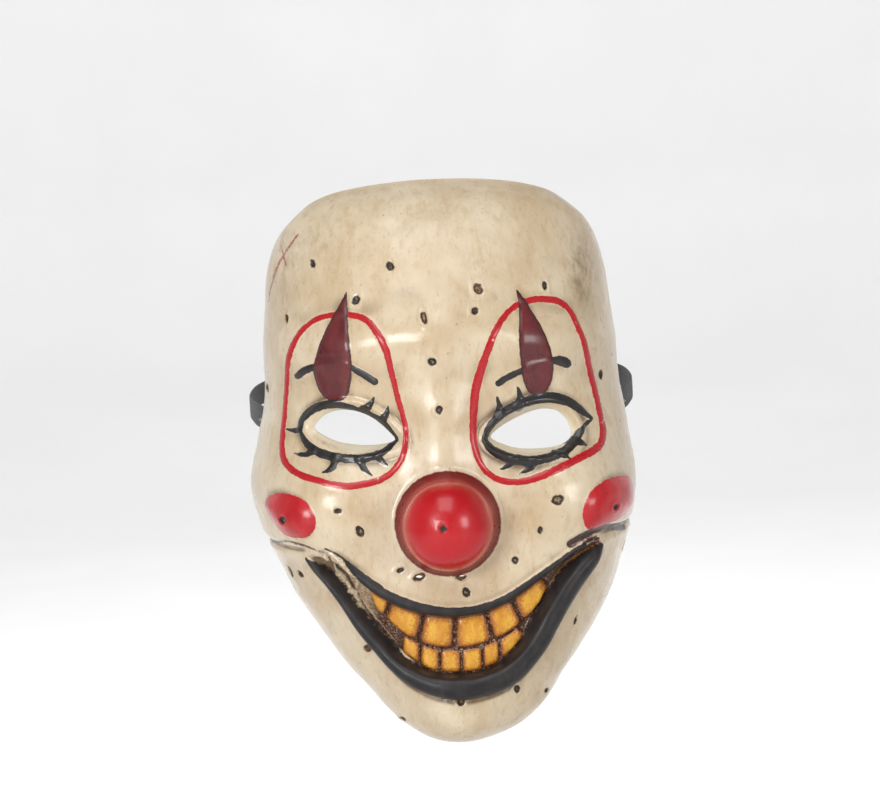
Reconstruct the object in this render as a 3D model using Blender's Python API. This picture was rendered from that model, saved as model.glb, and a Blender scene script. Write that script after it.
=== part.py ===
"""Clown mask: a vacuum-formed plastic face shell on a flat elastic, fixed by two wire staples.

Metres, +Z up. The face looks along -Y and +X is on the viewer's right. The origin lies on the
inner face of the shell at the bridge of the nose, at eye level, where the mask sits on its wearer.
The shell's outer face is one formula over a grid of rows and columns: a smooth base form, which
comes from a table of sections, and moulded relief, which is a height above that form.
"""

import math

import bmesh
import bpy
import numpy as np
from mathutils import Matrix, Vector

for old in list(bpy.data.objects):
    bpy.data.objects.remove(old, do_unlink=True)

# The base form
FACE_WIDTH = 0.1532
FACE_HEIGHT = 0.2155
FOREHEAD_SHARE = 0.4408
FOREHEAD_HEIGHT = FOREHEAD_SHARE * FACE_HEIGHT
CHIN_DROP = FACE_HEIGHT - FOREHEAD_HEIGHT
FACE_DEPTH = 0.078
WALL = 0.0014
GAP = 0.0003

# The eyes
EYE_SPACING = 0.067
EYE_HOLE_WIDTH = 0.031
EYE_HOLE_HEIGHT = 0.0145
EYE_HOLE_LEVEL = 0.0
EYE_RIM_DIP = 0.0018
LID_RISE = 0.0014
LID_WIDTH = 0.0042
SOCKET_WIDTH = 0.048
SOCKET_DEPTH = 0.0055
BROW_RISE = 0.0032
BROW_LEVEL = 0.037
BROW_REACH = 0.017
FOREHEAD_RISE = 0.0024
FOREHEAD_BULGE = 0.022
BRIDGE_RISE = 0.0055
BRIDGE_WIDTH = 0.019

# The ball nose and its two breathing holes
NOSE_DIAMETER = 0.034
NOSE_REACH = 0.026
NOSE_LEVEL = -0.0348
NOSE_FLARE = 0.0042
NOSTRIL_WIDTH = 0.0032
NOSTRIL_HEIGHT = 0.0017
NOSTRIL_SPACING = 0.0166
NOSTRIL_OFFSET = -0.0037
NOSTRIL_DROP = 0.0203
NOSTRIL_SLOPE = 1.1

# The cheeks
CHEEK_SPACING = 0.1185
CHEEK_LEVEL = -0.0315
CHEEK_WIDTH = 0.0222
CHEEK_HEIGHT = 0.0182
CHEEK_RISE = 0.0019
APPLE_RISE = 0.0065
APPLE_WIDTH = 0.034
CREASE_DEPTH = 0.0015
CREASE_WIDTH = 0.0046

# The mouth
MOUTH_WIDTH = 0.111
MOUTH_DROP = 0.059
MOUTH_LEVEL = -0.043
MOUTH_OFFSET = 0.002
LIP_RISE = 0.0016
ROLL_RISE = 0.0052
TEETH_INSET = 0.0042
TOOTH_RISE = 0.0030
CHIN_RISE = 0.004

# The elastic and its staples
BAND_WIDTH = 0.009
BAND_THICKNESS = 0.001
BAND_LEVEL = 0.002
BAND_OVERLAP = 0.0155
BAND_CLEAR = 0.005
HEAD_WIDTH = 0.158
HEAD_REACH = 0.188
BAND_LIFT = 0.010
STAPLE_WIDTH = 0.0076
STAPLE_WIRE = 0.0007
STAPLE_TAIL = 0.0028
STAPLE_INSET = 0.0082

# How finely the shell is drawn, before and after it is thinned out, and the elastic
GRID_ROWS = 190
GRID_COLUMNS = 170
SEAT_COLUMNS = 41
SHELL_FACES = 3500
BAND_STEPS = 6
PIN_SIDES = 8
NOSTRIL_SIDES = 10
# The smallest length told apart from nothing
TINY = 0.00001

# Heights are shares of FOREHEAD_HEIGHT above eye level and of CHIN_DROP below it, depths are
# shares of FACE_DEPTH forward of the shell's rim, and widths are shares of FACE_WIDTH.
# The sculpted jaw leans a little, which the lean column gives.
# centre height, centre depth, side height, side depth, width, squareness, lean
SECTIONS = [
    (1.000, 0.51, 0.845, 0.290, 0.690, 2.20, 0.0),
    (0.915, 0.68, 0.765, 0.165, 0.805, 2.20, 0.0),
    (0.765, 0.81, 0.640, 0.070, 0.868, 2.25, 0.0),
    (0.547, 0.905, 0.474, 0.013, 0.897, 2.30, 0.001),
    (0.326, 0.95, 0.295, -0.013, 0.910, 2.40, 0.003),
    (0.137, 0.955, 0.095, -0.026, 0.928, 2.50, 0.003),
    (-0.025, 0.95, -0.066, -0.026, 0.966, 2.60, -0.002),
    (-0.164, 0.97, -0.205, -0.013, 0.985, 2.80, -0.006),
    (-0.328, 0.985, -0.328, 0.026, 0.942, 2.80, 0.002),
    (-0.475, 1.00, -0.443, 0.077, 0.878, 2.60, 0.008),
    (-0.590, 1.00, -0.525, 0.141, 0.828, 2.40, 0.013),
    (-0.705, 0.987, -0.615, 0.218, 0.738, 2.30, 0.018),
    (-0.803, 0.987, -0.705, 0.308, 0.636, 2.20, 0.018),
    (-0.885, 0.97, -0.770, 0.397, 0.540, 2.10, 0.019),
    (-0.951, 0.91, -0.824, 0.474, 0.464, 2.10, 0.023),
    (-0.992, 0.79, -0.861, 0.513, 0.400, 2.10, 0.026),
    (-1.000, 0.64, -0.877, 0.526, 0.360, 2.10, 0.028),
]

# Outlines of the two eye holes, each round its own centre: shares of EYE_HOLE_WIDTH to the right
# and of EYE_HOLE_HEIGHT upwards. The sculptor made the two unlike each other.
EYE_HOLES = {
    "left": [(-0.50, 0.05), (-0.43, 0.30), (-0.30, 0.48), (-0.12, 0.54), (0.07, 0.47), (0.24, 0.28),
             (0.38, 0.02), (0.49, -0.28), (0.34, -0.40), (0.14, -0.43), (-0.06, -0.39),
             (-0.24, -0.30), (-0.39, -0.14)],
    "right": [(-0.50, -0.14), (-0.39, 0.09), (-0.21, 0.28), (0.01, 0.45), (0.19, 0.50), (0.34, 0.41),
              (0.45, 0.16), (0.50, -0.17), (0.46, -0.38), (0.31, -0.51), (0.08, -0.54),
              (-0.15, -0.50), (-0.35, -0.36)],
}
EYE_HOLE_LIFT = {"left": 0.10, "right": -0.11}

# The smile, left to right: the share of half MOUTH_WIDTH from the middle, then how far below the
# mouth's corners each line runs, as a share of MOUTH_DROP.
# across, top of lip, edge of lip, bite between the rows of teeth, inside and outside of lower roll
SMILE = [
    (-1.00, 0.005, 0.020, 0.023, 0.030, 0.060),
    (-0.90, 0.015, 0.045, 0.075, 0.115, 0.195),
    (-0.79, 0.045, 0.095, 0.170, 0.245, 0.365),
    (-0.685, 0.127, 0.190, 0.310, 0.393, 0.540),
    (-0.575, 0.210, 0.285, 0.410, 0.529, 0.678),
    (-0.47, 0.271, 0.348, 0.518, 0.647, 0.800),
    (-0.36, 0.322, 0.400, 0.600, 0.746, 0.895),
    (-0.20, 0.375, 0.445, 0.666, 0.820, 0.969),
    (-0.036, 0.403, 0.464, 0.685, 0.840, 1.000),
    (0.126, 0.397, 0.456, 0.676, 0.834, 0.995),
    (0.29, 0.356, 0.414, 0.632, 0.778, 0.961),
    (0.43, 0.288, 0.349, 0.563, 0.663, 0.881),
    (0.577, 0.203, 0.256, 0.434, 0.447, 0.724),
    (0.685, 0.139, 0.183, 0.240, 0.300, 0.558),
    (0.79, 0.073, 0.115, 0.148, 0.180, 0.402),
    (0.90, 0.027, 0.061, 0.080, 0.098, 0.254),
    (1.00, -0.005, 0.025, 0.045, 0.054, 0.119),
]

# Where one tooth ends and the next begins, as shares of half MOUTH_WIDTH: at the top and at the
# foot of the row.
UPPER_TEETH = [(-0.63, -0.57), (-0.465, -0.53), (-0.235, -0.295), (-0.018, -0.04), (0.195, 0.24),
               (0.38, 0.455), (0.60, 0.66)]
LOWER_TEETH = [(-0.40, -0.42), (-0.275, -0.295), (-0.14, -0.15), (0.008, 0.008), (0.16, 0.16),
               (0.28, 0.285), (0.42, 0.48)]

# The elastic's way round the head from one edge of the mask to the middle of the back: shares of
# half HEAD_WIDTH, of the way back to HEAD_REACH, and of BAND_LIFT.
BAND_ROUTE = [(0.962, 0.16, 0.08), (1.00, 0.36, 0.32), (0.945, 0.60, 0.60), (0.74, 0.82, 0.85),
              (0.40, 0.955, 0.98), (0.0, 1.0, 1.0)]


def spline(rows, place):
    """Rows of a table read at fractional places, on a smooth curve through every row."""
    table = np.asarray(rows, float)
    place = np.clip(place, 0, len(table) - 1)
    first = np.minimum(place.astype(int), len(table) - 2)
    part = (place - first)[..., None]
    before = table[np.maximum(first - 1, 0)]
    start = table[first]
    end = table[first + 1]
    after = table[np.minimum(first + 2, len(table) - 1)]
    bend = 2 * before - 5 * start + 4 * end - after + part * (3 * (start - end) + after - before)
    return start + 0.5 * part * (end - before + part * bend)


def ramp(value, low, high):
    """0 below low, 1 above high, and a smooth rise between."""
    share = np.clip((value - low) / (high - low), 0, 1)
    return share * share * (3 - 2 * share)


def hump(distance, width):
    """A bell of height 1 that fades out about one width away."""
    return np.exp(-((distance / width) ** 2) * 2.8)


def base_form(row, across):
    """The smooth head form: x, depth forward of the rim, and z, for -1 <= across <= 1."""
    sections = np.moveaxis(spline(SECTIONS, row), -1, 0)
    height, depth, side_height, side_depth, width, square, lean = sections
    turn = across * math.pi / 2
    reach = (np.abs(np.sin(turn)) ** square + np.abs(np.cos(turn)) ** square) ** (-1 / square)
    front = reach * np.cos(turn)
    share = side_height + (height - side_height) * front
    x = FACE_WIDTH * (width / 2 * reach * np.sin(turn) + lean)
    forward = FACE_DEPTH * (side_depth + (depth - side_depth) * front)
    z = np.where(share > 0, share * FOREHEAD_HEIGHT, share * CHIN_DROP)
    return x, forward, z


def outline(points, closed=True, steps=6):
    """A finely divided smooth outline through the points."""
    ring = list(points)
    if closed:
        ring = ring[-1:] + ring + ring[:2]
        places = np.linspace(1, len(ring) - 2, (len(ring) - 3) * steps, endpoint=False)
    else:
        places = np.linspace(0, len(ring) - 1, (len(ring) - 1) * steps + 1)
    return spline(ring, places)


def eye_outline(side):
    """The eye hole's outline in x and z."""
    sign = -1 if side == "left" else 1
    centre_x = sign * EYE_SPACING / 2
    centre_z = EYE_HOLE_LEVEL + EYE_HOLE_LIFT[side] * EYE_HOLE_HEIGHT
    ring = outline(EYE_HOLES[side])
    return np.column_stack([centre_x + ring[:, 0] * EYE_HOLE_WIDTH,
                            centre_z + ring[:, 1] * EYE_HOLE_HEIGHT])


def outside(ring, x, z):
    """Distance from a closed outline, positive outside it and negative inside."""
    nearest = np.full(x.shape, np.inf)
    inside = np.zeros(x.shape, bool)
    for (ax, az), (bx, bz) in zip(ring, np.roll(ring, -1, axis=0)):
        run = (bx - ax) ** 2 + (bz - az) ** 2 + 1e-18
        along = np.clip(((x - ax) * (bx - ax) + (z - az) * (bz - az)) / run, 0, 1)
        nearest = np.minimum(nearest, np.hypot(x - ax - along * (bx - ax), z - az - along * (bz - az)))
        if az != bz:
            crosses = ((az > z) != (bz > z)) & (x < ax + (z - az) * (bx - ax) / (bz - az))
            inside ^= crosses
    return np.where(inside, -nearest, nearest)


def smile_lines(x):
    """Heights of the five lines of the smile at x, and how far x is into the mouth's width."""
    rows = outline(SMILE, closed=False)
    across = (x - MOUTH_OFFSET) / (MOUTH_WIDTH / 2)
    lines = [MOUTH_LEVEL - MOUTH_DROP * np.interp(across, rows[:, 0], rows[:, 1 + k]) for k in range(5)]
    return across, lines


def square_to(line, x, z):
    """Distance above a line of the smile, measured square to it."""
    step = 0.01 * MOUTH_DROP
    level = smile_lines(x)[1][line]
    slope = (smile_lines(x + step)[1][line] - smile_lines(x - step)[1][line]) / (2 * step)
    return (z - level) / np.sqrt(1 + slope * slope)


def tooth_row(edges, across, down):
    """Height, 0 to 1, of a row of teeth: rounded blocks with a narrow cleft between them."""
    height = np.zeros(across.shape)
    for (top_a, foot_a), (top_b, foot_b) in zip(edges, edges[1:]):
        start = top_a + (foot_a - top_a) * down
        end = top_b + (foot_b - top_b) * down
        u = np.clip((across - start) / (end - start), 0, 1)
        block = (1 - np.abs(2 * u - 1) ** 4) * (1 - np.abs(2 * np.clip(down, 0, 1) - 1) ** 5)
        height = np.maximum(height, np.sqrt(np.clip(block, 0, 1)))
    return height


def mouth_relief(x, z):
    """Lips, the recess between them and the two rows of teeth."""
    across, (top, edge, bite, roll_in, _) = smile_lines(x)
    above_edge = square_to(1, x, z)
    above_in = square_to(3, x, z)
    above_out = square_to(4, x, z)
    in_width = ramp(1.0 - np.abs(across), 0.0, 0.10)
    recess = ramp(-above_edge, -0.3 * WALL, WALL) * ramp(above_in, -WALL, 0.3 * WALL) * in_width
    depth = -TEETH_INSET * recess * ramp(edge - roll_in, 0, 4 * WALL)
    upper_down = (edge - z) / np.maximum(edge - bite, TINY)
    lower_down = (bite - z) / np.maximum(bite - roll_in, TINY)
    upper = tooth_row(UPPER_TEETH, across, upper_down)
    lower = 0.75 * tooth_row(LOWER_TEETH, across, lower_down)
    teeth = TOOTH_RISE * np.maximum(upper, lower) * recess
    half = np.maximum((above_out - above_in) / 2, TINY)
    offset = (above_out + above_in) / 2 / half
    thick = np.clip(half / (0.08 * MOUTH_DROP), 0, 1)
    roll = ROLL_RISE * np.sqrt(thick) * np.sqrt(np.clip(1 - offset ** 2, 0, 1))
    roll = roll * (np.abs(offset) < 1) * ramp(1.03 - np.abs(across), 0.0, 0.12)
    band = np.maximum(top - edge, TINY)
    lip = LIP_RISE * hump((z - (top + edge) / 2) / band, 1.0) * ramp(1 - np.abs(across), 0, 0.35)
    return depth + teeth + roll + lip


def crease_relief(x, z):
    """The fold that runs from each corner of the smile out to the rim."""
    out = np.abs(x - MOUTH_OFFSET) - MOUTH_WIDTH / 2
    fold = hump(z - MOUTH_LEVEL - 0.05 * out, CREASE_WIDTH / 2)
    return -CREASE_DEPTH * fold * ramp(out, -1.3 * CREASE_WIDTH, 0.9 * CREASE_WIDTH)


def face_relief(x, z):
    """Height of the moulded relief above the base form, without the nose."""
    bridge = ramp(z, NOSE_LEVEL, 0.3 * NOSE_LEVEL) * (1 - ramp(z, 0, BROW_LEVEL))
    height = BRIDGE_RISE * hump(x, BRIDGE_WIDTH) * bridge
    brow = hump(z - BROW_LEVEL + 0.10 * np.abs(x), BROW_REACH)
    height += BROW_RISE * brow * (1 - ramp(np.abs(x), 0.75 * EYE_SPACING, FACE_WIDTH / 2))
    height += FOREHEAD_RISE * hump(np.hypot(x, (z - BROW_LEVEL) / 1.3), FOREHEAD_BULGE)
    for side, sign in (("left", -1), ("right", 1)):
        eye_x = sign * EYE_SPACING / 2
        from_eye = np.hypot(x - eye_x, (z - EYE_HOLE_LEVEL) / 0.72)
        height -= SOCKET_DEPTH * hump(from_eye, SOCKET_WIDTH / 2)
        gap = outside(eye_outline(side), x, z)
        height += LID_RISE * hump(gap - 0.8 * LID_WIDTH, 0.55 * LID_WIDTH)
        height -= EYE_RIM_DIP * (1 - ramp(gap, -0.5 * WALL, 1.3 * WALL))
        apple = np.hypot(x - sign * 0.42 * CHEEK_SPACING, z - 0.94 * CHEEK_LEVEL)
        height += APPLE_RISE * hump(apple, APPLE_WIDTH)
        disc = np.hypot((x - sign * CHEEK_SPACING / 2) / CHEEK_WIDTH, (z - CHEEK_LEVEL) / CHEEK_HEIGHT)
        height += CHEEK_RISE * np.sqrt(np.clip(1 - (2 * disc) ** 2, 0, 1))
    height += CHIN_RISE * hump(np.hypot(x, (z + 0.93 * CHIN_DROP) / 0.7), 0.2 * CHIN_DROP)
    return height + crease_relief(x, z) + mouth_relief(x, z)


def nose_profile(share):
    """Radius and height of the ball nose and its flared foot, from tip (0) to foot (1)."""
    radius = NOSE_DIAMETER / 2
    belly = math.radians(100)
    centre = NOSE_REACH - radius
    neck = radius * math.sin(belly)
    neck_height = centre + radius * math.cos(belly)
    ball_share = radius * belly / (radius * belly + math.hypot(NOSE_FLARE, neck_height))
    angle = np.clip(share / ball_share, 0, 1) * belly
    foot = np.clip((share - ball_share) / (1 - ball_share), 0, 1)
    on_ball = share < ball_share
    ring = np.where(on_ball, radius * np.sin(angle), neck + NOSE_FLARE * foot)
    rise = np.where(on_ball, centre + radius * np.cos(angle), neck_height * (1 - foot) ** 1.3)
    return ring, rise, neck + NOSE_FLARE


def outer_face(row, across):
    """Points of the shell's outer face, shaped (rows, columns, 3), in the part's own frame."""
    x, forward, z = base_form(row, across)
    base = np.stack([x, -forward, z], -1)
    down_rows = np.gradient(base, axis=0)
    along_columns = np.gradient(base, axis=1)
    normal = np.cross(down_rows, along_columns)
    normal /= np.linalg.norm(normal, axis=-1, keepdims=True)
    from_nose = np.hypot(x, z - NOSE_LEVEL)
    foot = nose_profile(np.zeros(1))[2]
    ring, rise, _ = nose_profile(np.clip(from_nose / foot, 0, 1))
    on_nose = from_nose < foot
    face = base + normal * face_relief(x, z)[..., None]
    stretch = np.where(on_nose, ring / np.maximum(from_nose, TINY), 1.0)
    face[..., 0] = np.where(on_nose, x * stretch, face[..., 0])
    face[..., 2] = np.where(on_nose, NOSE_LEVEL + (z - NOSE_LEVEL) * stretch, face[..., 2])
    face[..., 1] = np.where(on_nose, face[..., 1] - rise, face[..., 1])
    return face


def grid(rows, columns):
    """Even places over the table's rows and across the face, closer together on its sides."""
    row, across = np.meshgrid(np.linspace(0, len(SECTIONS) - 1, rows), np.linspace(-1, 1, columns),
                              indexing="ij")
    return row, across


def seat_depth():
    """How far the inner face of the nose bridge lies in front of the rim's plane."""
    points = outer_face(*grid(GRID_ROWS, SEAT_COLUMNS))[:, SEAT_COLUMNS // 2]
    order = np.argsort(points[:, 2])
    return -np.interp(EYE_HOLE_LEVEL, points[order, 2], points[order, 1]) - WALL


SEAT = seat_depth()


def material(name, colour, roughness, metallic=0.0):
    """A plain Principled material."""
    made = bpy.data.materials.new(name)
    made.use_nodes = True
    shader = made.node_tree.nodes["Principled BSDF"]
    shader.inputs["Base Color"].default_value = (*colour, 1.0)
    shader.inputs["Roughness"].default_value = roughness
    shader.inputs["Metallic"].default_value = metallic
    return made


def new_object(name, mesh, finish=None, cutter=False):
    """An object in the scene; a cutter only shapes others and isn't part of the mask."""
    made = bpy.data.objects.new(name, mesh)
    bpy.context.scene.collection.objects.link(made)
    if finish:
        mesh.materials.append(finish)
    if cutter:
        made.hide_render = True
        made.display_type = "WIRE"
    return made


def cut(target, cutter):
    """Takes the cutter's shape out of the target."""
    tool = target.modifiers.new(cutter.name, "BOOLEAN")
    tool.operation = "DIFFERENCE"
    tool.solver = "EXACT"
    tool.object = cutter


def prism(name, ring, back, front, slope=0.0):
    """A cutter: a closed outline in x and z, drawn from y = front to y = back, and up by slope."""
    bm = bmesh.new()
    loop = [bm.verts.new((x, front, z)) for x, z in ring]
    face = bm.faces.new(loop)
    moved = bmesh.ops.extrude_face_region(bm, geom=[face])["geom"]
    pushed = [v for v in moved if isinstance(v, bmesh.types.BMVert)]
    bmesh.ops.translate(bm, verts=pushed, vec=(0, back - front, slope * (back - front)))
    bmesh.ops.recalc_face_normals(bm, faces=bm.faces)
    mesh = bpy.data.meshes.new(name)
    bm.to_mesh(mesh)
    bm.free()
    return new_object(name, mesh, cutter=True)


def pin_cutter(name, frame, along):
    """A cutter for one leg of a staple: a round pin square to the shell."""
    bm = bmesh.new()
    bmesh.ops.create_cone(bm, cap_ends=True, segments=PIN_SIDES, radius1=STAPLE_WIRE / 2 + GAP,
                          radius2=STAPLE_WIRE / 2 + GAP, depth=8 * WALL)
    bm.transform(frame @ Matrix.Translation((along, 0, 0)))
    mesh = bpy.data.meshes.new(name)
    bm.to_mesh(mesh)
    bm.free()
    return new_object(name, mesh, cutter=True)


def side_point(side, level, inset):
    """The shell's outer face near its rim: a point, the outward normal and the way to the rim."""
    sign = 1 if side == "right" else -1
    rows = np.linspace(3, 9, 121)
    heights = base_form(rows, np.ones(121) * sign)[2]
    row = np.interp(level, heights[::-1], rows[::-1])
    near = np.linspace(0.5, 1.0, 401)
    forward = base_form(np.full(401, row), near * sign)[1]
    across = np.interp(forward[-1] + inset, forward[::-1], near[::-1])
    step = 0.002
    places = [(row, across), (row - step, across), (row + step, across), (row, across - step),
              (row, across + step)]
    found = []
    for r, a in places:
        x, forward, z = base_form(np.array([r]), np.array([a * sign]))
        found.append(Vector((float(x[0]), SEAT - float(forward[0]), float(z[0]))))
    up = (found[1] - found[2]).normalized()
    to_rim = (found[4] - found[3]).normalized()
    normal = up.cross(to_rim) * -sign
    normal.normalize()
    if normal.x * sign < 0:
        normal.negate()
    return found[0], normal, to_rim


def staple_frame(side):
    """Matrix of a staple: x towards the rim, z out of the shell, origin on the outer face."""
    point, normal, to_rim = side_point(side, BAND_LEVEL, STAPLE_INSET)
    across = normal.cross(to_rim).normalized()
    return Matrix.Translation(point) @ Matrix((to_rim, across, normal)).transposed().to_4x4()


def make_shell():
    """The moulded shell, pierced by the eye holes, the breathing holes and the staples' legs."""
    points = outer_face(*grid(GRID_ROWS, GRID_COLUMNS))
    points[..., 1] += SEAT
    bm = bmesh.new()
    verts = [[bm.verts.new(p) for p in line] for line in points]
    for upper, lower in zip(verts, verts[1:]):
        for a, b, c, d in zip(upper, lower, lower[1:], upper[1:]):
            bm.faces.new((a, b, c, d))
    mesh = bpy.data.meshes.new("mask_shell")
    bm.to_mesh(mesh)
    bm.free()
    mesh.shade_smooth()
    shell = new_object("mask_shell", mesh, material("painted_plastic", (0.73, 0.56, 0.36), 0.3))
    thin = shell.modifiers.new("thin_out", "DECIMATE")
    thin.ratio = SHELL_FACES / (2 * (GRID_ROWS - 1) * (GRID_COLUMNS - 1))
    wall = shell.modifiers.new("wall", "SOLIDIFY")
    wall.thickness = WALL
    wall.offset = -1
    for side in ("left", "right"):
        cut(shell, prism("eye_hole_" + side, eye_outline(side), 0.4 * FACE_DEPTH, -0.4 * FACE_DEPTH))
        sign = 1 if side == "right" else -1
        turn = np.linspace(0, 2 * math.pi, NOSTRIL_SIDES, endpoint=False)
        nostril_x = NOSTRIL_OFFSET + sign * NOSTRIL_SPACING / 2 + NOSTRIL_WIDTH / 2 * np.cos(turn)
        nostril_z = NOSE_LEVEL - NOSTRIL_DROP + NOSTRIL_HEIGHT / 2 * np.sin(turn)
        near = np.hypot(points[..., 0] - nostril_x.mean(), points[..., 2] - nostril_z.mean())
        front = points[..., 1][np.unravel_index(np.argmin(near), near.shape)]
        ring = np.column_stack([nostril_x, nostril_z - 2 * WALL * NOSTRIL_SLOPE])
        cut(shell, prism("nostril_" + side, ring, front + 4 * WALL, front - 2 * WALL, NOSTRIL_SLOPE))
    return shell


def band_end(side):
    """Centres and upward directions of the elastic inside the shell, from its end to past the rim."""
    drop = WALL + GAP + BAND_THICKNESS / 2
    run = []
    for inset in np.linspace(BAND_OVERLAP, 0.03 * BAND_OVERLAP, BAND_STEPS):
        point, normal, to_rim = side_point(side, BAND_LEVEL, float(inset))
        up = to_rim.cross(normal).normalized()
        run.append((point - normal * drop, up if up.z > 0 else -up))
    run.append((run[-1][0] + to_rim * BAND_CLEAR, run[-1][1]))
    return run


def band_stations():
    """Centres and upward directions of the elastic's sections, left end to right end."""
    left = band_end("left")
    right = band_end("right")
    start = (left[-1][0].y + right[-1][0].y) / 2
    half = [(across * HEAD_WIDTH / 2, start + back * (HEAD_REACH - start), BAND_LEVEL + lift * BAND_LIFT)
            for across, back, lift in BAND_ROUTE]
    loop = [(-x, y, z) for x, y, z in half[:-1]] + half[::-1]
    route = [left[-2][0], left[-1][0], *loop, right[-1][0], right[-2][0]]
    count = BAND_STEPS * (len(route) - 3)
    curve = spline([tuple(p) for p in route], np.linspace(1, len(route) - 2, count + 1))[1:-1]
    upright = Vector((0, 0, 1))
    free = []
    for k, point in enumerate(curve, 1):
        lean = left[-1][1] if k <= count / 2 else right[-1][1]
        turned = min(1.0, min(k, count - k) / (1.3 * BAND_STEPS))
        free.append((Vector(point), lean.lerp(upright, turned).normalized()))
    stations = left + free + right[::-1]
    return [c for c, _ in stations], [u for _, u in stations]


def make_band():
    """The flat elastic: a rectangular section carried along its way round the head."""
    centres, ups = band_stations()
    bm = bmesh.new()
    rings = []
    for k, (centre, up) in enumerate(zip(centres, ups)):
        way = (centres[min(k + 1, len(centres) - 1)] - centres[max(k - 1, 0)]).normalized()
        out = way.cross(up).normalized() * BAND_THICKNESS / 2
        rise = out.cross(way).normalized() * BAND_WIDTH / 2
        if rise.z < 0:
            rise.negate()
        rings.append([bm.verts.new(centre + out * s + rise * r)
                      for s, r in ((-1, -1), (1, -1), (1, 1), (-1, 1))])
    for one, two in zip(rings, rings[1:]):
        for k in range(4):
            bm.faces.new((one[k], one[(k + 1) % 4], two[(k + 1) % 4], two[k]))
    bm.faces.new(rings[0])
    bm.faces.new(rings[-1][::-1])
    bmesh.ops.recalc_face_normals(bm, faces=bm.faces)
    mesh = bpy.data.meshes.new("elastic_band")
    bm.to_mesh(mesh)
    bm.free()
    return new_object("elastic_band", mesh, material("black_elastic", (0.012, 0.012, 0.013), 0.75))


def make_staple(side, finish):
    """A wire staple: crown outside the shell, legs through shell and elastic, tails turned in."""
    half = STAPLE_WIDTH / 2
    crown = GAP + STAPLE_WIRE / 2 + 0.5 * GAP
    tail = -(WALL + GAP + BAND_THICKNESS + 1.5 * GAP + STAPLE_WIRE / 2)
    bend = 0.7 * STAPLE_WIRE
    side_path = [(half - STAPLE_TAIL, tail), (half - bend, tail), (half - 0.3 * bend, tail + 0.3 * bend),
                 (half, tail + bend), (half, crown - bend), (half - 0.3 * bend, crown - 0.3 * bend),
                 (half - bend, crown)]
    path = side_path + [(-x, z) for x, z in reversed(side_path)]
    curve = bpy.data.curves.new("staple_" + side, "CURVE")
    curve.dimensions = "3D"
    curve.bevel_depth = STAPLE_WIRE / 2
    curve.bevel_resolution = 2
    curve.use_fill_caps = True
    wire = curve.splines.new("POLY")
    wire.points.add(len(path) - 1)
    for point, (x, z) in zip(wire.points, path):
        point.co = (x, 0, z, 1)
    made = new_object("staple_" + side, curve, finish)
    made.matrix_world = staple_frame(side)
    return made


def main():
    """Builds every piece and cuts the staples' holes through what they hold."""
    shell = make_shell()
    band = make_band()
    steel = material("staple_steel", (0.62, 0.61, 0.58), 0.35, 1.0)
    for side in ("left", "right"):
        make_staple(side, steel)
        for leg, along in (("front", -STAPLE_WIDTH / 2), ("rear", STAPLE_WIDTH / 2)):
            pin = pin_cutter("pin_" + side + "_" + leg, staple_frame(side), along)
            cut(shell, pin)
            cut(band, pin)


main()
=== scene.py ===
"""The looks of the clown mask: its moulded, painted and varnished shell, its woven elastic, a plain
studio and a camera at the photograph's angle."""

import math

import bmesh
import bpy
import numpy as np
from mathutils import Matrix, Vector, kdtree


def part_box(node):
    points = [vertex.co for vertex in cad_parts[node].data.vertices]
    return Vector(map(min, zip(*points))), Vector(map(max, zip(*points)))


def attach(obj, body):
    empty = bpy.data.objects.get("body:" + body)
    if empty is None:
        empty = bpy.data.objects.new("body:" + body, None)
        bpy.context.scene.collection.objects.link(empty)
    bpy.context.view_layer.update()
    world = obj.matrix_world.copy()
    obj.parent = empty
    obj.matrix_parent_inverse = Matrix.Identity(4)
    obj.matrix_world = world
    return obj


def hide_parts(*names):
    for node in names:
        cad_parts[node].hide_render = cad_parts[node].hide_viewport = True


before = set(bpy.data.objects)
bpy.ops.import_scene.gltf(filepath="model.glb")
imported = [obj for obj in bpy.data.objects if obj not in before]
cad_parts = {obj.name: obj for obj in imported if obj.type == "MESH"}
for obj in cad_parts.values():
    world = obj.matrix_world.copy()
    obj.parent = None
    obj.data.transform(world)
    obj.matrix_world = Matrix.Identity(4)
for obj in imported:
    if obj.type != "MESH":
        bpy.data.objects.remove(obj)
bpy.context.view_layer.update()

# One millimetre of the mask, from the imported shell's width.
SHELL_LOW, SHELL_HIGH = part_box("mask_shell")
MM = (SHELL_HIGH.x - SHELL_LOW.x) / 153.4

# The form, in millimetres, as the shell's solid has it
FACE_WIDTH = 153.2
FOREHEAD_HEIGHT = 95.0
CHIN_DROP = 120.5
FACE_DEPTH = 78.0
WALL = 1.4
GAP = 0.3
SEAT = 78.115

EYE_SPACING = 67.0
EYE_HOLE_WIDTH = 31.0
EYE_HOLE_HEIGHT = 14.5
EYE_HOLE_LEVEL = 0.0
EYE_RIM_DIP = 1.8
LID_RISE = 1.4
LID_WIDTH = 4.2
SOCKET_WIDTH = 48.0
SOCKET_DEPTH = 5.5
BROW_RISE = 3.2
BROW_LEVEL = 37.0
BROW_REACH = 17.0
FOREHEAD_RISE = 2.4
FOREHEAD_BULGE = 22.0
BRIDGE_RISE = 5.5
BRIDGE_WIDTH = 19.0

NOSE_DIAMETER = 34.0
NOSE_REACH = 26.0
NOSE_LEVEL = -34.8
NOSE_FLARE = 4.2
NOSTRIL_WIDTH = 3.2
NOSTRIL_HEIGHT = 1.7
NOSTRIL_SPACING = 16.6
NOSTRIL_OFFSET = -3.7
NOSTRIL_DROP = 20.3
NOSTRIL_SLOPE = 1.1

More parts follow.
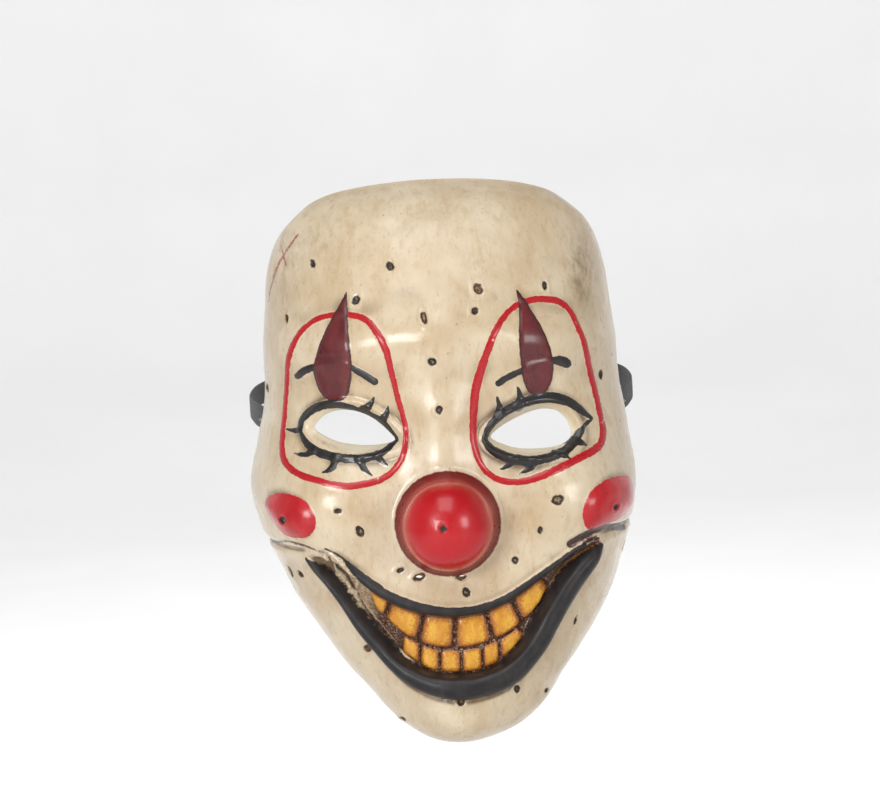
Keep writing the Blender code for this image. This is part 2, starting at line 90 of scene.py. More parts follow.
CHEEK_SPACING = 118.5
CHEEK_LEVEL = -31.5
CHEEK_WIDTH = 22.2
CHEEK_HEIGHT = 18.2
CHEEK_RISE = 1.9
APPLE_RISE = 6.5
APPLE_WIDTH = 34.0
CREASE_DEPTH = 1.5
CREASE_WIDTH = 4.6

MOUTH_WIDTH = 111.0
MOUTH_DROP = 59.0
MOUTH_LEVEL = -43.0
MOUTH_OFFSET = 2.0
LIP_RISE = 1.6
ROLL_RISE = 5.2
TEETH_INSET = 4.2
TOOTH_RISE = 3.0
CHIN_RISE = 4.0

BAND_WIDTH = 9.0
BAND_THICKNESS = 1.0
BAND_LEVEL = 2.0
BAND_OVERLAP = 15.5
BAND_CLEAR = 5.0
HEAD_WIDTH = 158.0
HEAD_REACH = 188.0
BAND_LIFT = 10.0
BAND_RIBS = 7
BAND_STITCH = 0.8

# The finer relief that only the scene has: painted lines stand proud, and dents, folds and scratches
# are sunk, each in millimetres
LINER_RISE = 0.7
LASH_RISE = 0.45
BROW_LINE_RISE = 0.45
RING_RISE = 0.4
DROP_RISE = 0.5
DROP_GROOVE = 0.35
DROP_GROOVE_LEVEL = 27.0
DENT_LIP = 0.35
DENT_DEPTH = 0.8
SCAR_DEPTH = 0.3
FOLD_DEPTH = 0.8
RIDGE_RISE = 1.1
TOOTH_GRAIN = 0.10
GUM_GROOVE = 0.35
GUM_PITCH = 1.3
LUMP_RISE = 0.22
PITTING = 0.07
# How far from the nose's middle its red paint reaches
NOSE_PAINT = 20.2

# Shares of the sizes above, as in the solid:
# centre height, centre depth, side height, side depth, width, squareness, lean
SECTIONS = [
    (1.000, 0.51, 0.845, 0.290, 0.690, 2.20, 0.0),
    (0.915, 0.68, 0.765, 0.165, 0.805, 2.20, 0.0),
    (0.765, 0.81, 0.640, 0.070, 0.868, 2.25, 0.0),
    (0.547, 0.905, 0.474, 0.013, 0.897, 2.30, 0.001),
    (0.326, 0.95, 0.295, -0.013, 0.910, 2.40, 0.003),
    (0.137, 0.955, 0.095, -0.026, 0.928, 2.50, 0.003),
    (-0.025, 0.95, -0.066, -0.026, 0.966, 2.60, -0.002),
    (-0.164, 0.97, -0.205, -0.013, 0.985, 2.80, -0.006),
    (-0.328, 0.985, -0.328, 0.026, 0.942, 2.80, 0.002),
    (-0.475, 1.00, -0.443, 0.077, 0.878, 2.60, 0.008),
    (-0.590, 1.00, -0.525, 0.141, 0.828, 2.40, 0.013),
    (-0.705, 0.987, -0.615, 0.218, 0.738, 2.30, 0.018),
    (-0.803, 0.987, -0.705, 0.308, 0.636, 2.20, 0.018),
    (-0.885, 0.97, -0.770, 0.397, 0.540, 2.10, 0.019),
    (-0.951, 0.91, -0.824, 0.474, 0.464, 2.10, 0.023),
    (-0.992, 0.79, -0.861, 0.513, 0.400, 2.10, 0.026),
    (-1.000, 0.64, -0.877, 0.526, 0.360, 2.10, 0.028),
]

EYE_HOLES = {
    "left": [(-0.50, 0.05), (-0.43, 0.30), (-0.30, 0.48), (-0.12, 0.54), (0.07, 0.47), (0.24, 0.28),
             (0.38, 0.02), (0.49, -0.28), (0.34, -0.40), (0.14, -0.43), (-0.06, -0.39),
             (-0.24, -0.30), (-0.39, -0.14)],
    "right": [(-0.50, -0.14), (-0.39, 0.09), (-0.21, 0.28), (0.01, 0.45), (0.19, 0.50), (0.34, 0.41),
              (0.45, 0.16), (0.50, -0.17), (0.46, -0.38), (0.31, -0.51), (0.08, -0.54),
              (-0.15, -0.50), (-0.35, -0.36)],
}
EYE_HOLE_LIFT = {"left": 0.10, "right": -0.11}

# across, top of lip, edge of lip, bite, inside and outside of lower roll
SMILE = [
    (-1.00, 0.005, 0.020, 0.023, 0.030, 0.060),
    (-0.90, 0.015, 0.045, 0.075, 0.115, 0.195),
    (-0.79, 0.045, 0.095, 0.170, 0.245, 0.365),
    (-0.685, 0.127, 0.190, 0.310, 0.393, 0.540),
    (-0.575, 0.210, 0.285, 0.410, 0.529, 0.678),
    (-0.47, 0.271, 0.348, 0.518, 0.647, 0.800),
    (-0.36, 0.322, 0.400, 0.600, 0.746, 0.895),
    (-0.20, 0.375, 0.445, 0.666, 0.820, 0.969),
    (-0.036, 0.403, 0.464, 0.685, 0.840, 1.000),
    (0.126, 0.397, 0.456, 0.676, 0.834, 0.995),
    (0.29, 0.356, 0.414, 0.632, 0.778, 0.961),
    (0.43, 0.288, 0.349, 0.563, 0.663, 0.881),
    (0.577, 0.203, 0.256, 0.434, 0.447, 0.724),
    (0.685, 0.139, 0.183, 0.240, 0.300, 0.558),
    (0.79, 0.073, 0.115, 0.148, 0.180, 0.402),
    (0.90, 0.027, 0.061, 0.080, 0.098, 0.254),
    (1.00, -0.005, 0.025, 0.045, 0.054, 0.119),
]
UPPER_TEETH = [(-0.63, -0.57), (-0.465, -0.53), (-0.235, -0.295), (-0.018, -0.04), (0.195, 0.24),
               (0.38, 0.455), (0.60, 0.66)]
LOWER_TEETH = [(-0.40, -0.42), (-0.275, -0.295), (-0.14, -0.15), (0.008, 0.008), (0.16, 0.16),
               (0.28, 0.285), (0.42, 0.48)]
BAND_ROUTE = [(0.962, 0.16, 0.08), (1.00, 0.36, 0.32), (0.945, 0.60, 0.60), (0.74, 0.82, 0.85),
              (0.40, 0.955, 0.98), (0.0, 1.0, 1.0)]

# The camera: what it looks at, how far off, how large, and its tilt
VIEW_WIDTH, VIEW_HEIGHT = 880, 800
EYE_PIXEL = (443.0, 431.0)
EYE_DEPTH = 74.0
PIXELS_PER_MM = 2.64
CAMERA_DISTANCE = 1200.0
CAMERA_ROLL = math.radians(3.0)
CAMERA_LIFT = math.radians(5.0)

# The studio, in metres: how bright the surroundings are, then each soft light's place, aim, size and
# watts, and the floor's level and its curve up into a wall, as distances out and up
SURROUNDINGS = 0.16
LIGHTS = [
    ("key", (-0.78, -1.3, 0.28), (0, 0, 0), 0.5, 9.5),
    ("fill", (1.1, -1.15, 0.22), (0, 0, 0), 0.5, 5.0),
    ("top", (-0.1, -0.9, 1.25), (0, 0, 0), 1.0, 8.0),
    ("backdrop", (0, 0.75, 1.3), (0, 2.9, 0.0), 1.4, 40.0),
]
FLOOR_LEVEL = -0.33
FLOOR_CURVE = [(0.0, 0.0), (1.6, 0.0), (2.4, 0.03), (2.9, 0.15), (3.2, 0.42), (3.35, 0.9), (3.4, 3.4)]
FLOOR_STEPS = 72

# Painted marks by where the camera sees them: across and down in pixels, then half the width of
# the stroke in millimetres
RINGS = [
    [(350, 315, 1.2), (365, 319, 1.2), (376, 331, 1.3), (385, 348, 1.3), (391, 370, 1.2), (397, 395, 1.1),
     (405, 425, 1.1), (405, 445, 1.1), (400, 462, 1.2), (386, 477, 1.2), (365, 484, 1.3),
     (345, 486, 1.2), (320, 481, 1.1), (297, 473, 1.2), (284, 460, 1.3), (282, 440, 1.1),
     (285, 412, 1.0), (287, 375, 1.0), (291, 350, 1.1), (302, 331, 1.1), (318, 319, 1.1), (335, 315, 1.1)],
    [(545, 299, 1.3), (560, 302, 1.3), (571, 312, 1.2), (579, 330, 1.1), (586, 353, 1.1),
     (593, 385, 1.2), (600, 415, 1.2), (603, 433, 1.4), (598, 447, 1.5), (575, 460, 1.4),
     (553, 471, 1.4), (530, 480, 1.3), (512, 482, 1.2), (495, 478, 1.2), (482, 466, 1.2),
     (475, 448, 1.3), (473, 425, 1.4), (475, 395, 1.7), (479, 376, 1.7), (488, 350, 1.4),
     (497, 328, 1.2), (510, 310, 1.1), (527, 301, 1.2)],
]
DROPS = [
    [(346.5, 291), (347.5, 300), (348.5, 326), (350, 345), (351.5, 362), (351.5, 376), (349.5, 390),
     (343, 400), (333, 402.5), (323, 396), (316, 384), (313, 370), (315.5, 356), (321, 341),
     (328, 326), (336, 311), (342, 300)],
    [(516, 288), (525, 300), (533, 312), (542, 327), (548, 341), (552, 355), (553.5, 368),
     (551.5, 382), (545, 392.5), (536, 396), (528, 391), (523, 379), (521, 365), (519.5, 347),
     (519, 330), (519, 312), (518, 300)],
]
BROWS = [
    [(297, 376.5, 1.1), (305, 370.5, 1.4), (314, 367, 1.1), (330, 363.5, 0.9), (345, 364.5, 0.9),
     (352, 368, 1.2), (364, 375, 1.4), (375, 382, 1.3)],
    [(498.5, 383.5, 1.2), (508, 377, 1.3), (521, 371, 1.2), (537, 364, 1.0), (552, 360.5, 1.4),
     (561, 361, 1.8), (567, 364, 1.6)],
]
LINERS = [
    [(300, 430, 1.2), (304, 418, 1.6), (315, 408, 1.7), (332, 404, 1.6), (350, 407.5, 1.5),
     (367, 413.5, 1.5), (382, 421.5, 1.7), (396, 439, 1.2)],
    [(300, 430, 0.9), (306, 442, 1.4), (318, 451.5, 1.7), (334, 457, 1.8), (352, 459, 1.7),
     (370, 457, 1.6), (385, 451, 1.4), (396, 439, 1.0)],
    [(484, 440, 1.2), (490.5, 426, 1.6), (502, 414, 1.8), (518, 405, 2.0), (535, 399.5, 2.1),
     (552, 397.5, 2.1), (567, 401.5, 1.9), (579, 409.5, 1.5), (591, 418, 0.6)],
    [(484, 440, 1.2), (494, 451, 1.8), (512, 458.5, 2.0), (532, 460.5, 1.9), (552, 456.5, 1.7),
     (567, 449, 1.5), (576, 438, 1.2), (583, 428, 1.0), (590, 420, 0.7)],
]
LASHES = [
    [(361, 412.5, 2.2), (368, 407, 1.5), (374.5, 396.5, 0.3)],
    [(381, 421.5, 2.0), (386, 415, 1.2), (388, 406, 0.3)],
    [(300, 430, 1.1), (294, 430.5, 0.9), (286, 429, 0.3)],
    [(314, 451, 1.3), (305, 454.5, 1.1), (294, 453.5, 0.3)],
    [(336, 459, 1.6), (332, 468, 1.3), (322, 473, 0.3)],
    [(360, 460, 1.6), (364, 468, 1.2), (372, 475.5, 0.3)],
    [(377, 454, 1.5), (381, 460, 1.2), (388.5, 465.5, 0.3)],
    [(499, 416, 2.3), (499.5, 408, 1.4), (497, 397, 0.3)],
    [(519, 406, 2.3), (520, 398, 1.5), (517, 386, 0.3)],
    [(570, 441, 1.3), (577, 442, 1.4), (586, 445, 0.5)],
    [(556, 453, 1.5), (563, 455, 1.1), (570, 458.5, 0.3)],
    [(535, 460, 1.6), (530, 468, 1.3), (519, 474, 0.3)],
    [(513, 458, 1.5), (509, 465, 1.2), (500, 469.5, 0.3)],
]
CHEEKS = [
    [(263.5, 508), (267, 498), (278, 493), (291, 494.5), (304, 500), (313, 511), (316.5, 524),
     (311, 535), (297, 538.5), (281, 535), (269, 523)],
    [(583, 515), (587, 500), (595, 488), (608, 479), (622, 475.5), (630, 478), (633, 490), (632, 505),
     (624, 516), (612, 523), (598, 529), (587, 528)],
]
# Hollow dents: across and down in pixels, width and height in millimetres, turn in degrees, and
# how brown rather than black they are
DENTS = [
    (313, 264, 2.2, 3.4, 10, 0.1), (390, 266, 3.0, 3.9, 20, 0.2), (287, 319, 1.6, 3.4, 0, 0.5),
    (356, 300, 2.8, 4.4, -35, 0.0), (424, 318, 2.6, 4.6, 10, 0.5), (478, 289, 3.6, 4.8, 20, 0.8),
    (475, 311, 2.6, 3.8, -40, 0.1), (545, 286, 2.2, 3.4, 10, 0.1), (432, 362, 3.2, 3.2, 40, 0.0),
    (439, 410, 2.8, 3.6, -20, 0.2), (268, 388, 1.4, 3.6, 0, 0.1), (600, 375, 1.8, 3.8, 10, 0.2),
    (338, 511, 2.8, 2.2, 0, 0.2), (360, 531, 2.6, 4.4, 25, 0.1), (558, 500, 4.4, 3.8, 15, 0.2),
    (540, 530, 1.8, 3.0, -10, 0.2), (515, 560, 2.8, 2.8, 0, 0.1), (466, 592, 3.1, 4.0, 10, 0.1),
    (400, 570, 3.6, 1.8, 25, 0.2), (301, 574, 2.0, 3.2, 20, 0.2), (291, 571, 1.2, 5.0, 10, 0.1),
    (368, 648, 3.2, 3.0, 0, 0.8), (461, 701, 3.0, 3.0, 30, 0.4), (517, 689, 2.4, 3.0, 10, 0.2),
    (546, 690, 1.6, 2.4, -10, 0.1), (575, 620, 1.0, 4.0, -20, 0.1), (403, 718, 2.4, 1.6, 0, 0.2),
    (623, 545, 1.4, 3.6, -10, 0.4), (443, 529, 1.9, 1.5, 30, 0.0), (283, 520, 2.9, 2.7, 0, 0.0),
    (616, 507, 2.6, 2.2, 30, 0.1), (419, 577, 5.2, 2.8, 20, 0.9), (461, 577, 4.6, 2.6, 0, 0.9),
]
SCAR = [[(297, 234, 0.3), (283, 255, 0.4), (275, 272, 0.4), (270, 290, 0.3), (268, 303, 0.15)],
        [(280, 245, 0.25), (286, 266, 0.25)]]
# Lines and ridges where the corners of the smile run out towards the rim
FOLD_LINES = [
    [(272, 541.5, 0.4), (285, 541.5, 0.35), (296, 543.5, 0.5), (305, 546, 0.4), (317, 551, 0.2)],
    [(318, 550.5, 0.25), (329, 557.5, 0.35), (338, 566.5, 0.55), (346.5, 575.6, 0.5), (356, 590, 0.3)],
    [(358, 593, 0.25), (366, 607, 0.3), (380, 625, 0.35), (396, 643, 0.3), (416, 661, 0.25)],
    [(572, 543.5, 1.6), (581, 538, 1.5), (590, 533.5, 1.3), (597, 530.5, 1.1), (606, 527.5, 1.1),
     (614, 526.5, 1.3), (624, 527.5, 1.2)],
    [(616, 524.5, 0.3), (623, 522, 0.35), (631, 517.5, 0.4)],
    [(585, 543.5, 0.5), (591, 540, 0.8), (597, 537.5, 0.6)],
]
RIDGES = [
    [(319, 552, 0.4), (329, 560.5, 0.9), (339, 571.5, 1.0), (348.5, 582, 1.0), (357, 595, 1.0),
     (366, 610, 0.8), (379, 630, 0.7), (394, 648, 0.7), (412, 664, 0.5)],
    [(323, 549.5, 0.3), (336, 557, 0.8), (345, 566.5, 1.1), (352, 576, 1.0), (357, 587, 0.5)],
    [(577, 552.5, 0.35), (587, 544, 0.35), (594, 540.5, 0.3)],
]
LIP_ENDS = [
    [(324, 548, 0.2), (338, 554.5, 0.35), (346, 561, 0.5), (353, 568.5, 1.0), (360, 576.5, 1.6),
     (368, 583.5, 2.0), (378, 590, 2.0)],
]
# Brown washes: x, z, reach across, reach up, strength
WASHES = [
    (57, 55, 7, 16, 1.0), (-60, 52, 8, 22, 0.55), (-50, 70, 18, 10, 0.35), (-40, -2.5, 14, 3, 0.75),
    (25, -27, 9, 10, 0.45), (-24, -20, 9, 6, 0.3), (-62, -60, 9, 16, 0.65), (-48, -92, 12, 14, 0.45),
    (58, -66, 9, 20, 0.5), (40, -96, 10, 12, 0.35), (0, 20, 10, 12, 0.25), (12, 4, 4, 10, 0.5),
    (-66, -8, 5, 16, 0.35), (68, -8, 4, 18, 0.35), (0, 80, 60, 12, 0.3), (30, 62, 30, 9, 0.25),
]

GRID_ROWS = 301
GRID_COLUMNS = 283
INNER_STEP = 3
# How closely the rows lie at each section of the table, top to bottom
ROW_WEIGHTS = [0.7, 0.7, 0.8, 0.9, 1.0, 1.15, 1.25, 1.1, 1.3, 1.5, 1.5, 1.4, 1.1, 1.0, 0.8, 0.7, 0.7]
# And the columns, from the middle out to the rim
COLUMN_WEIGHTS = [1.3, 1.3, 1.4, 1.5, 1.5, 1.4, 1.1, 0.7, 0.5, 0.4, 0.4]
FAR = 6.0


def spline(rows, place):
    """Rows of a table read at fractional places, on a smooth curve through every row."""
    table = np.asarray(rows, float)
    place = np.clip(place, 0, len(table) - 1)
    first = np.minimum(place.astype(int), len(table) - 2)
    part = (place - first)[..., None]
    before = table[np.maximum(first - 1, 0)]
    start = table[first]
    end = table[first + 1]
    after = table[np.minimum(first + 2, len(table) - 1)]
    bend = 2 * before - 5 * start + 4 * end - after + part * (3 * (start - end) + after - before)
    return start + 0.5 * part * (end - before + part * bend)


def ramp(value, low, high):
    """0 below low, 1 above high, and a smooth rise between."""
    share = np.clip((value - low) / (high - low), 0, 1)
    return share * share * (3 - 2 * share)


def hump(distance, width):
    """A bell of height 1 that fades out about one width away."""
    return np.exp(-((distance / width) ** 2) * 2.8)


def outline(points, closed=True, steps=6):
    """A finely divided smooth outline through the points."""
    ring = list(points)
    if closed:
        ring = ring[-1:] + ring + ring[:2]
        places = np.linspace(1, len(ring) - 2, (len(ring) - 3) * steps, endpoint=False)
    else:
        places = np.linspace(0, len(ring) - 1, (len(ring) - 1) * steps + 1)
    return spline(ring, places)


def near_box(ring, x, z):
    """Which points lie near enough to an outline to need its distance."""
    low = ring[:, :2].min(0) - FAR
    high = ring[:, :2].max(0) + FAR
    return (x > low[0]) & (x < high[0]) & (z > low[1]) & (z < high[1])


def outside(ring, x, z):
    """Distance from a closed outline, positive outside it and negative inside."""
    distance = np.full(x.shape, FAR)
    pick = near_box(ring, x, z)
    px, pz = x[pick], z[pick]
    nearest = np.full(px.shape, np.inf)
    inside = np.zeros(px.shape, bool)
    for (ax, az), (bx, bz) in zip(ring, np.roll(ring, -1, axis=0)):
        run = (bx - ax) ** 2 + (bz - az) ** 2 + 1e-12
        along = np.clip(((px - ax) * (bx - ax) + (pz - az) * (bz - az)) / run, 0, 1)
        nearest = np.minimum(nearest, np.hypot(px - ax - along * (bx - ax), pz - az - along * (bz - az)))
        if az != bz:
            crosses = ((az > pz) != (bz > pz)) & (px < ax + (pz - az) * (bx - ax) / (bz - az))
            inside ^= crosses
    distance[pick] = np.minimum(np.where(inside, -nearest, nearest), FAR)
    return distance


def stroke(points, x, z, closed=False):
    """Distance from the edge of a painted stroke of changing width, negative inside it."""
    line = outline(points, closed, 5)
    distance = np.full(x.shape, FAR)
    pick = near_box(line, x, z)
    px, pz = x[pick], z[pick]
    nearest = np.full(px.shape, FAR)
    ends = np.roll(line, -1, axis=0) if closed else line[1:]
    for (ax, az, aw), (bx, bz, bw) in zip(line, ends):
        run = (bx - ax) ** 2 + (bz - az) ** 2 + 1e-12
        along = np.clip(((px - ax) * (bx - ax) + (pz - az) * (bz - az)) / run, 0, 1)
        gap = np.hypot(px - ax - along * (bx - ax), pz - az - along * (bz - az))
        nearest = np.minimum(nearest, gap - aw - along * (bw - aw))
    distance[pick] = nearest
    return distance


def strokes(group, x, z, closed=False):
    """Distance from the nearest of several strokes."""
    return np.minimum.reduce([stroke(points, x, z, closed) for points in group])


def eye_outline(side):
    """The eye hole's outline in x and z."""
    sign = -1 if side == "left" else 1
    centre_x = sign * EYE_SPACING / 2
    centre_z = EYE_HOLE_LEVEL + EYE_HOLE_LIFT[side] * EYE_HOLE_HEIGHT
    ring = outline(EYE_HOLES[side])
    return np.column_stack([centre_x + ring[:, 0] * EYE_HOLE_WIDTH,
                            centre_z + ring[:, 1] * EYE_HOLE_HEIGHT])


def base_form(row, across):
    """The smooth head form: x, depth forward of the rim, and z, for -1 <= across <= 1."""
    sections = np.moveaxis(spline(SECTIONS, row), -1, 0)
    height, depth, side_height, side_depth, width, square, lean = sections
    turn = across * math.pi / 2
    reach = (np.abs(np.sin(turn)) ** square + np.abs(np.cos(turn)) ** square) ** (-1 / square)
    front = reach * np.cos(turn)
    share = side_height + (height - side_height) * front
    x = FACE_WIDTH * (width / 2 * reach * np.sin(turn) + lean)
    forward = FACE_DEPTH * (side_depth + (depth - side_depth) * front)
    z = np.where(share > 0, share * FOREHEAD_HEIGHT, share * CHIN_DROP)
    return x, forward, z


def smile_lines(x):
    """How far x is across the mouth, and the heights there of the five lines of the smile."""
    rows = outline(SMILE, closed=False)
    across = (x - MOUTH_OFFSET) / (MOUTH_WIDTH / 2)
    lines = [MOUTH_LEVEL - MOUTH_DROP * np.interp(across, rows[:, 0], rows[:, 1 + k]) for k in range(5)]
    return across, lines


def square_to(line, x, z):
    """Distance above a line of the smile, measured square to it."""
    step = 0.5
    level = smile_lines(x)[1][line]
    slope = (smile_lines(x + step)[1][line] - smile_lines(x - step)[1][line]) / (2 * step)
    return (z - level) / np.sqrt(1 + slope * slope)


def tooth_row(edges, across, down):
    """Height, 0 to 1, of a row of teeth: rounded blocks with a narrow cleft between them."""
    height = np.zeros(across.shape)
    for (top_a, foot_a), (top_b, foot_b) in zip(edges, edges[1:]):
        start = top_a + (foot_a - top_a) * down
        end = top_b + (foot_b - top_b) * down
        u = np.clip((across - start) / (end - start), 0, 1)
        block = (1 - np.abs(2 * u - 1) ** 4) * (1 - np.abs(2 * np.clip(down, 0, 1) - 1) ** 5)
        height = np.maximum(height, np.sqrt(np.clip(block, 0, 1)))
    return height


def teeth_height(x, z, lower_share):
    """Height, 0 to 1, of both rows of teeth, the lower one reaching only its share."""
    across, (_, edge, bite, roll_in, _) = smile_lines(x)
    upper_down = (edge - z) / np.maximum(edge - bite, 0.01)
    lower_down = (bite - z) / np.maximum(bite - roll_in, 0.01)
    upper = tooth_row(UPPER_TEETH, across, upper_down)
    lower = lower_share * tooth_row(LOWER_TEETH, across, lower_down)
    return np.maximum(upper, lower)


def mouth_relief(x, z):
    """Lips, the recess between them and the two rows of teeth."""
    across, (top, edge, _, roll_in, _) = smile_lines(x)
    above_edge = square_to(1, x, z)
    above_in = square_to(3, x, z)
    above_out = square_to(4, x, z)
    in_width = ramp(1.0 - np.abs(across), 0.0, 0.10)
    recess = ramp(-above_edge, -0.3 * WALL, WALL) * ramp(above_in, -WALL, 0.3 * WALL) * in_width
    depth = -TEETH_INSET * recess * ramp(edge - roll_in, 0, 4 * WALL)
    teeth = TOOTH_RISE * teeth_height(x, z, 0.75) * recess
    half = np.maximum((above_out - above_in) / 2, 0.01)
    offset = (above_out + above_in) / 2 / half
    thick = np.clip(half / (0.5 * 0.16 * MOUTH_DROP), 0, 1.0)
    roll = ROLL_RISE * np.sqrt(thick) * np.sqrt(np.clip(1 - offset ** 2, 0, 1))
    roll = roll * (np.abs(offset) < 1) * ramp(1.03 - np.abs(across), 0.0, 0.12)
    band = np.maximum(top - edge, 0.01)
    lip = LIP_RISE * hump((z - (top + edge) / 2) / band, 1.0) * ramp(1 - np.abs(across), 0, 0.35)
    return depth + teeth + roll + lip


def crease_relief(x, z):
    """The fold that runs from each corner of the smile out to the rim."""
    out = np.abs(x - MOUTH_OFFSET) - MOUTH_WIDTH / 2
    fold = hump(z - MOUTH_LEVEL - 0.05 * out, CREASE_WIDTH / 2)
    return -CREASE_DEPTH * fold * ramp(out, -6.0, 4.0)


def face_relief(x, z, discs):
    """Height of the moulded relief above the base form, without the nose."""
    bridge = ramp(z, NOSE_LEVEL, 0.3 * NOSE_LEVEL) * (1 - ramp(z, 0, BROW_LEVEL))
    height = BRIDGE_RISE * hump(x, BRIDGE_WIDTH) * bridge
    brow = hump(z - BROW_LEVEL + 0.10 * np.abs(x), BROW_REACH)
    height += BROW_RISE * brow * (1 - ramp(np.abs(x), 0.75 * EYE_SPACING, FACE_WIDTH / 2))
    height += FOREHEAD_RISE * hump(np.hypot(x, (z - BROW_LEVEL) / 1.3), FOREHEAD_BULGE)
    for side, sign in (("left", -1), ("right", 1)):
        eye_x = sign * EYE_SPACING / 2
        from_eye = np.hypot(x - eye_x, (z - EYE_HOLE_LEVEL) / 0.72)
        height -= SOCKET_DEPTH * hump(from_eye, SOCKET_WIDTH / 2)
        gap = outside(eye_outline(side), x, z)
        height += LID_RISE * hump(gap - 0.8 * LID_WIDTH, 0.55 * LID_WIDTH)
        height -= EYE_RIM_DIP * (1 - ramp(gap, -0.5 * WALL, 1.3 * WALL))
        apple = np.hypot(x - sign * 0.42 * CHEEK_SPACING, z - 0.94 * CHEEK_LEVEL)
        height += APPLE_RISE * hump(apple, APPLE_WIDTH)
    for disc in discs:
        inward = -outside(outline(disc), x, z)
        height += CHEEK_RISE * np.sqrt(ramp(inward, 0.0, 5.5))
    height += CHIN_RISE * hump(np.hypot(x, (z + 0.93 * CHIN_DROP) / 0.7), 0.2 * CHIN_DROP)
    return height + crease_relief(x, z) + mouth_relief(x, z)


def dent_distance(dents, x, z):
    """Distance from the nearest dent's edge, and how brown that dent is."""
    distance = np.full(x.shape, FAR)
    brown = np.zeros(x.shape)
    for dent_x, dent_z, width, height, turn, tint in dents:
        cos, sin = math.cos(math.radians(turn)), math.sin(math.radians(turn))
        u = ((x - dent_x) * cos + (z - dent_z) * sin) / (width / 2)
        v = (-(x - dent_x) * sin + (z - dent_z) * cos) / (height / 2)
        gap = (np.hypot(u, v) - 1) * math.sqrt(width * height) / 2
        closer = gap < distance
        distance = np.where(closer, gap, distance)
        brown = np.where(closer, tint, brown)
    return distance, brown


def wander(x, z, wave, seed):
    """A smooth uneven field between about -1 and 1, from a few crossed waves."""
    total = np.zeros(x.shape)
    for k in range(5):
        angle = seed * 1.7 + k * 2.4
        reach = wave * (1 + 0.37 * k)
        total += np.sin((x * math.cos(angle) + z * math.sin(angle)) * 2 * math.pi / reach + seed * 3 + k)
    return total / 3


def fine_relief(marks, x, z):
    """Hand-sculpted detail: raised paint lines, dents, scratches and lumps."""
    height = LINER_RISE * (1 - ramp(strokes(marks["liners"], x, z), -1.2, 0.5))
    height += LASH_RISE * (1 - ramp(strokes(marks["lashes"], x, z), -0.8, 0.4))
    height += BROW_LINE_RISE * (1 - ramp(strokes(marks["brows"], x, z), -0.9, 0.4))
    height += RING_RISE * (1 - ramp(strokes(marks["rings"], x, z, True), -0.9, 0.5))
    for drop in marks["drops"]:
        inside = -outside(outline(drop), x, z)
        height += DROP_RISE * ramp(inside, -0.3, 1.6)
        height -= DROP_GROOVE * ramp(inside, 0.0, 1.0) * hump(z - DROP_GROOVE_LEVEL + 0.05 * x, 0.9)
    dent, _ = dent_distance(marks["dents"], x, z)
    height += DENT_LIP * hump(dent - 0.5, 0.9) - DENT_DEPTH * (1 - ramp(dent, -1.0, 0.2))
    height -= SCAR_DEPTH * (1 - ramp(strokes(marks["scar"], x, z), -0.3, 0.5))
    height -= FOLD_DEPTH * (1 - ramp(strokes(marks["fold_lines"], x, z), -0.5, 0.6))
    height += RIDGE_RISE * (1 - ramp(strokes(marks["ridges"], x, z), -0.9, 0.5))
    across = smile_lines(x)[0]
    to_in = square_to(3, x, z)
    in_mouth = ramp(-square_to(1, x, z), 0, 1) * ramp(to_in, 0, 1)
    height += in_mouth * TOOTH_GRAIN * (wander(x * 3.2, z * 0.5, 9.0, 2) + wander(x, z, 3.4, 5))
    grooves = np.sin(to_in * 2 * math.pi / GUM_PITCH + 0.3 * x)
    height += GUM_GROOVE * in_mouth * ramp(across, 0.64, 0.70) * grooves
    height += LUMP_RISE * wander(x, z, 26.0, 1) + PITTING * wander(x, z, 8.0, 3)
    return height


def nose_profile(share):
    """Radius and height of the ball nose and its flared foot, from tip (0) to foot (1)."""
    radius = NOSE_DIAMETER / 2
    belly = math.radians(100)
    centre = NOSE_REACH - radius
    neck = radius * math.sin(belly)
    neck_height = centre + radius * math.cos(belly)
    ball_share = radius * belly / (radius * belly + math.hypot(NOSE_FLARE, neck_height))
    angle = np.clip(share / ball_share, 0, 1) * belly
    foot = np.clip((share - ball_share) / (1 - ball_share), 0, 1)
    on_ball = share < ball_share
    ring = np.where(on_ball, radius * np.sin(angle), neck + NOSE_FLARE * foot)
    rise = np.where(on_ball, centre + radius * np.cos(angle), neck_height * (1 - foot) ** 1.3)
    return ring, rise, neck + NOSE_FLARE


def surface_normals(points):
    """Outward directions over a grid of points."""
    normal = np.cross(np.gradient(points, axis=0), np.gradient(points, axis=1))
    return normal / np.maximum(np.linalg.norm(normal, axis=-1, keepdims=True), 1e-9)


def raised(base, normal, x, z, height):
    """The base form with relief on it, and the ball nose drawn out of its middle."""
    from_nose = np.hypot(x, z - NOSE_LEVEL)
    foot = nose_profile(np.zeros(1))[2]
    ring, rise, _ = nose_profile(np.clip(from_nose / foot, 0, 1))
    on_nose = from_nose < foot
    face = base + normal * height[..., None]
    stretch = np.where(on_nose, ring / np.maximum(from_nose, 1e-9), 1.0)
    face[..., 0] = np.where(on_nose, x * stretch, face[..., 0])
    face[..., 2] = np.where(on_nose, NOSE_LEVEL + (z - NOSE_LEVEL) * stretch, face[..., 2])
    face[..., 1] = np.where(on_nose, face[..., 1] - rise, face[..., 1])
    return face


def lowest(field, reach):
    """The least value of a grid field within a few cells each way."""
    for axis in (0, 1):
        moved = [np.roll(field, shift, axis) for shift in range(-reach, reach + 1)]
        field = np.minimum.reduce(moved)
    return field


def spread(weights, low, high, count):
    """Places from low to high that lie closer together where the weights are larger."""
    shares = np.interp(np.linspace(0, len(weights) - 1, 600), np.arange(len(weights)), weights)
    run = np.concatenate([[0], np.cumsum(shares)])
    return np.interp(np.linspace(0, run[-1], count), run, np.linspace(low, high, 601))


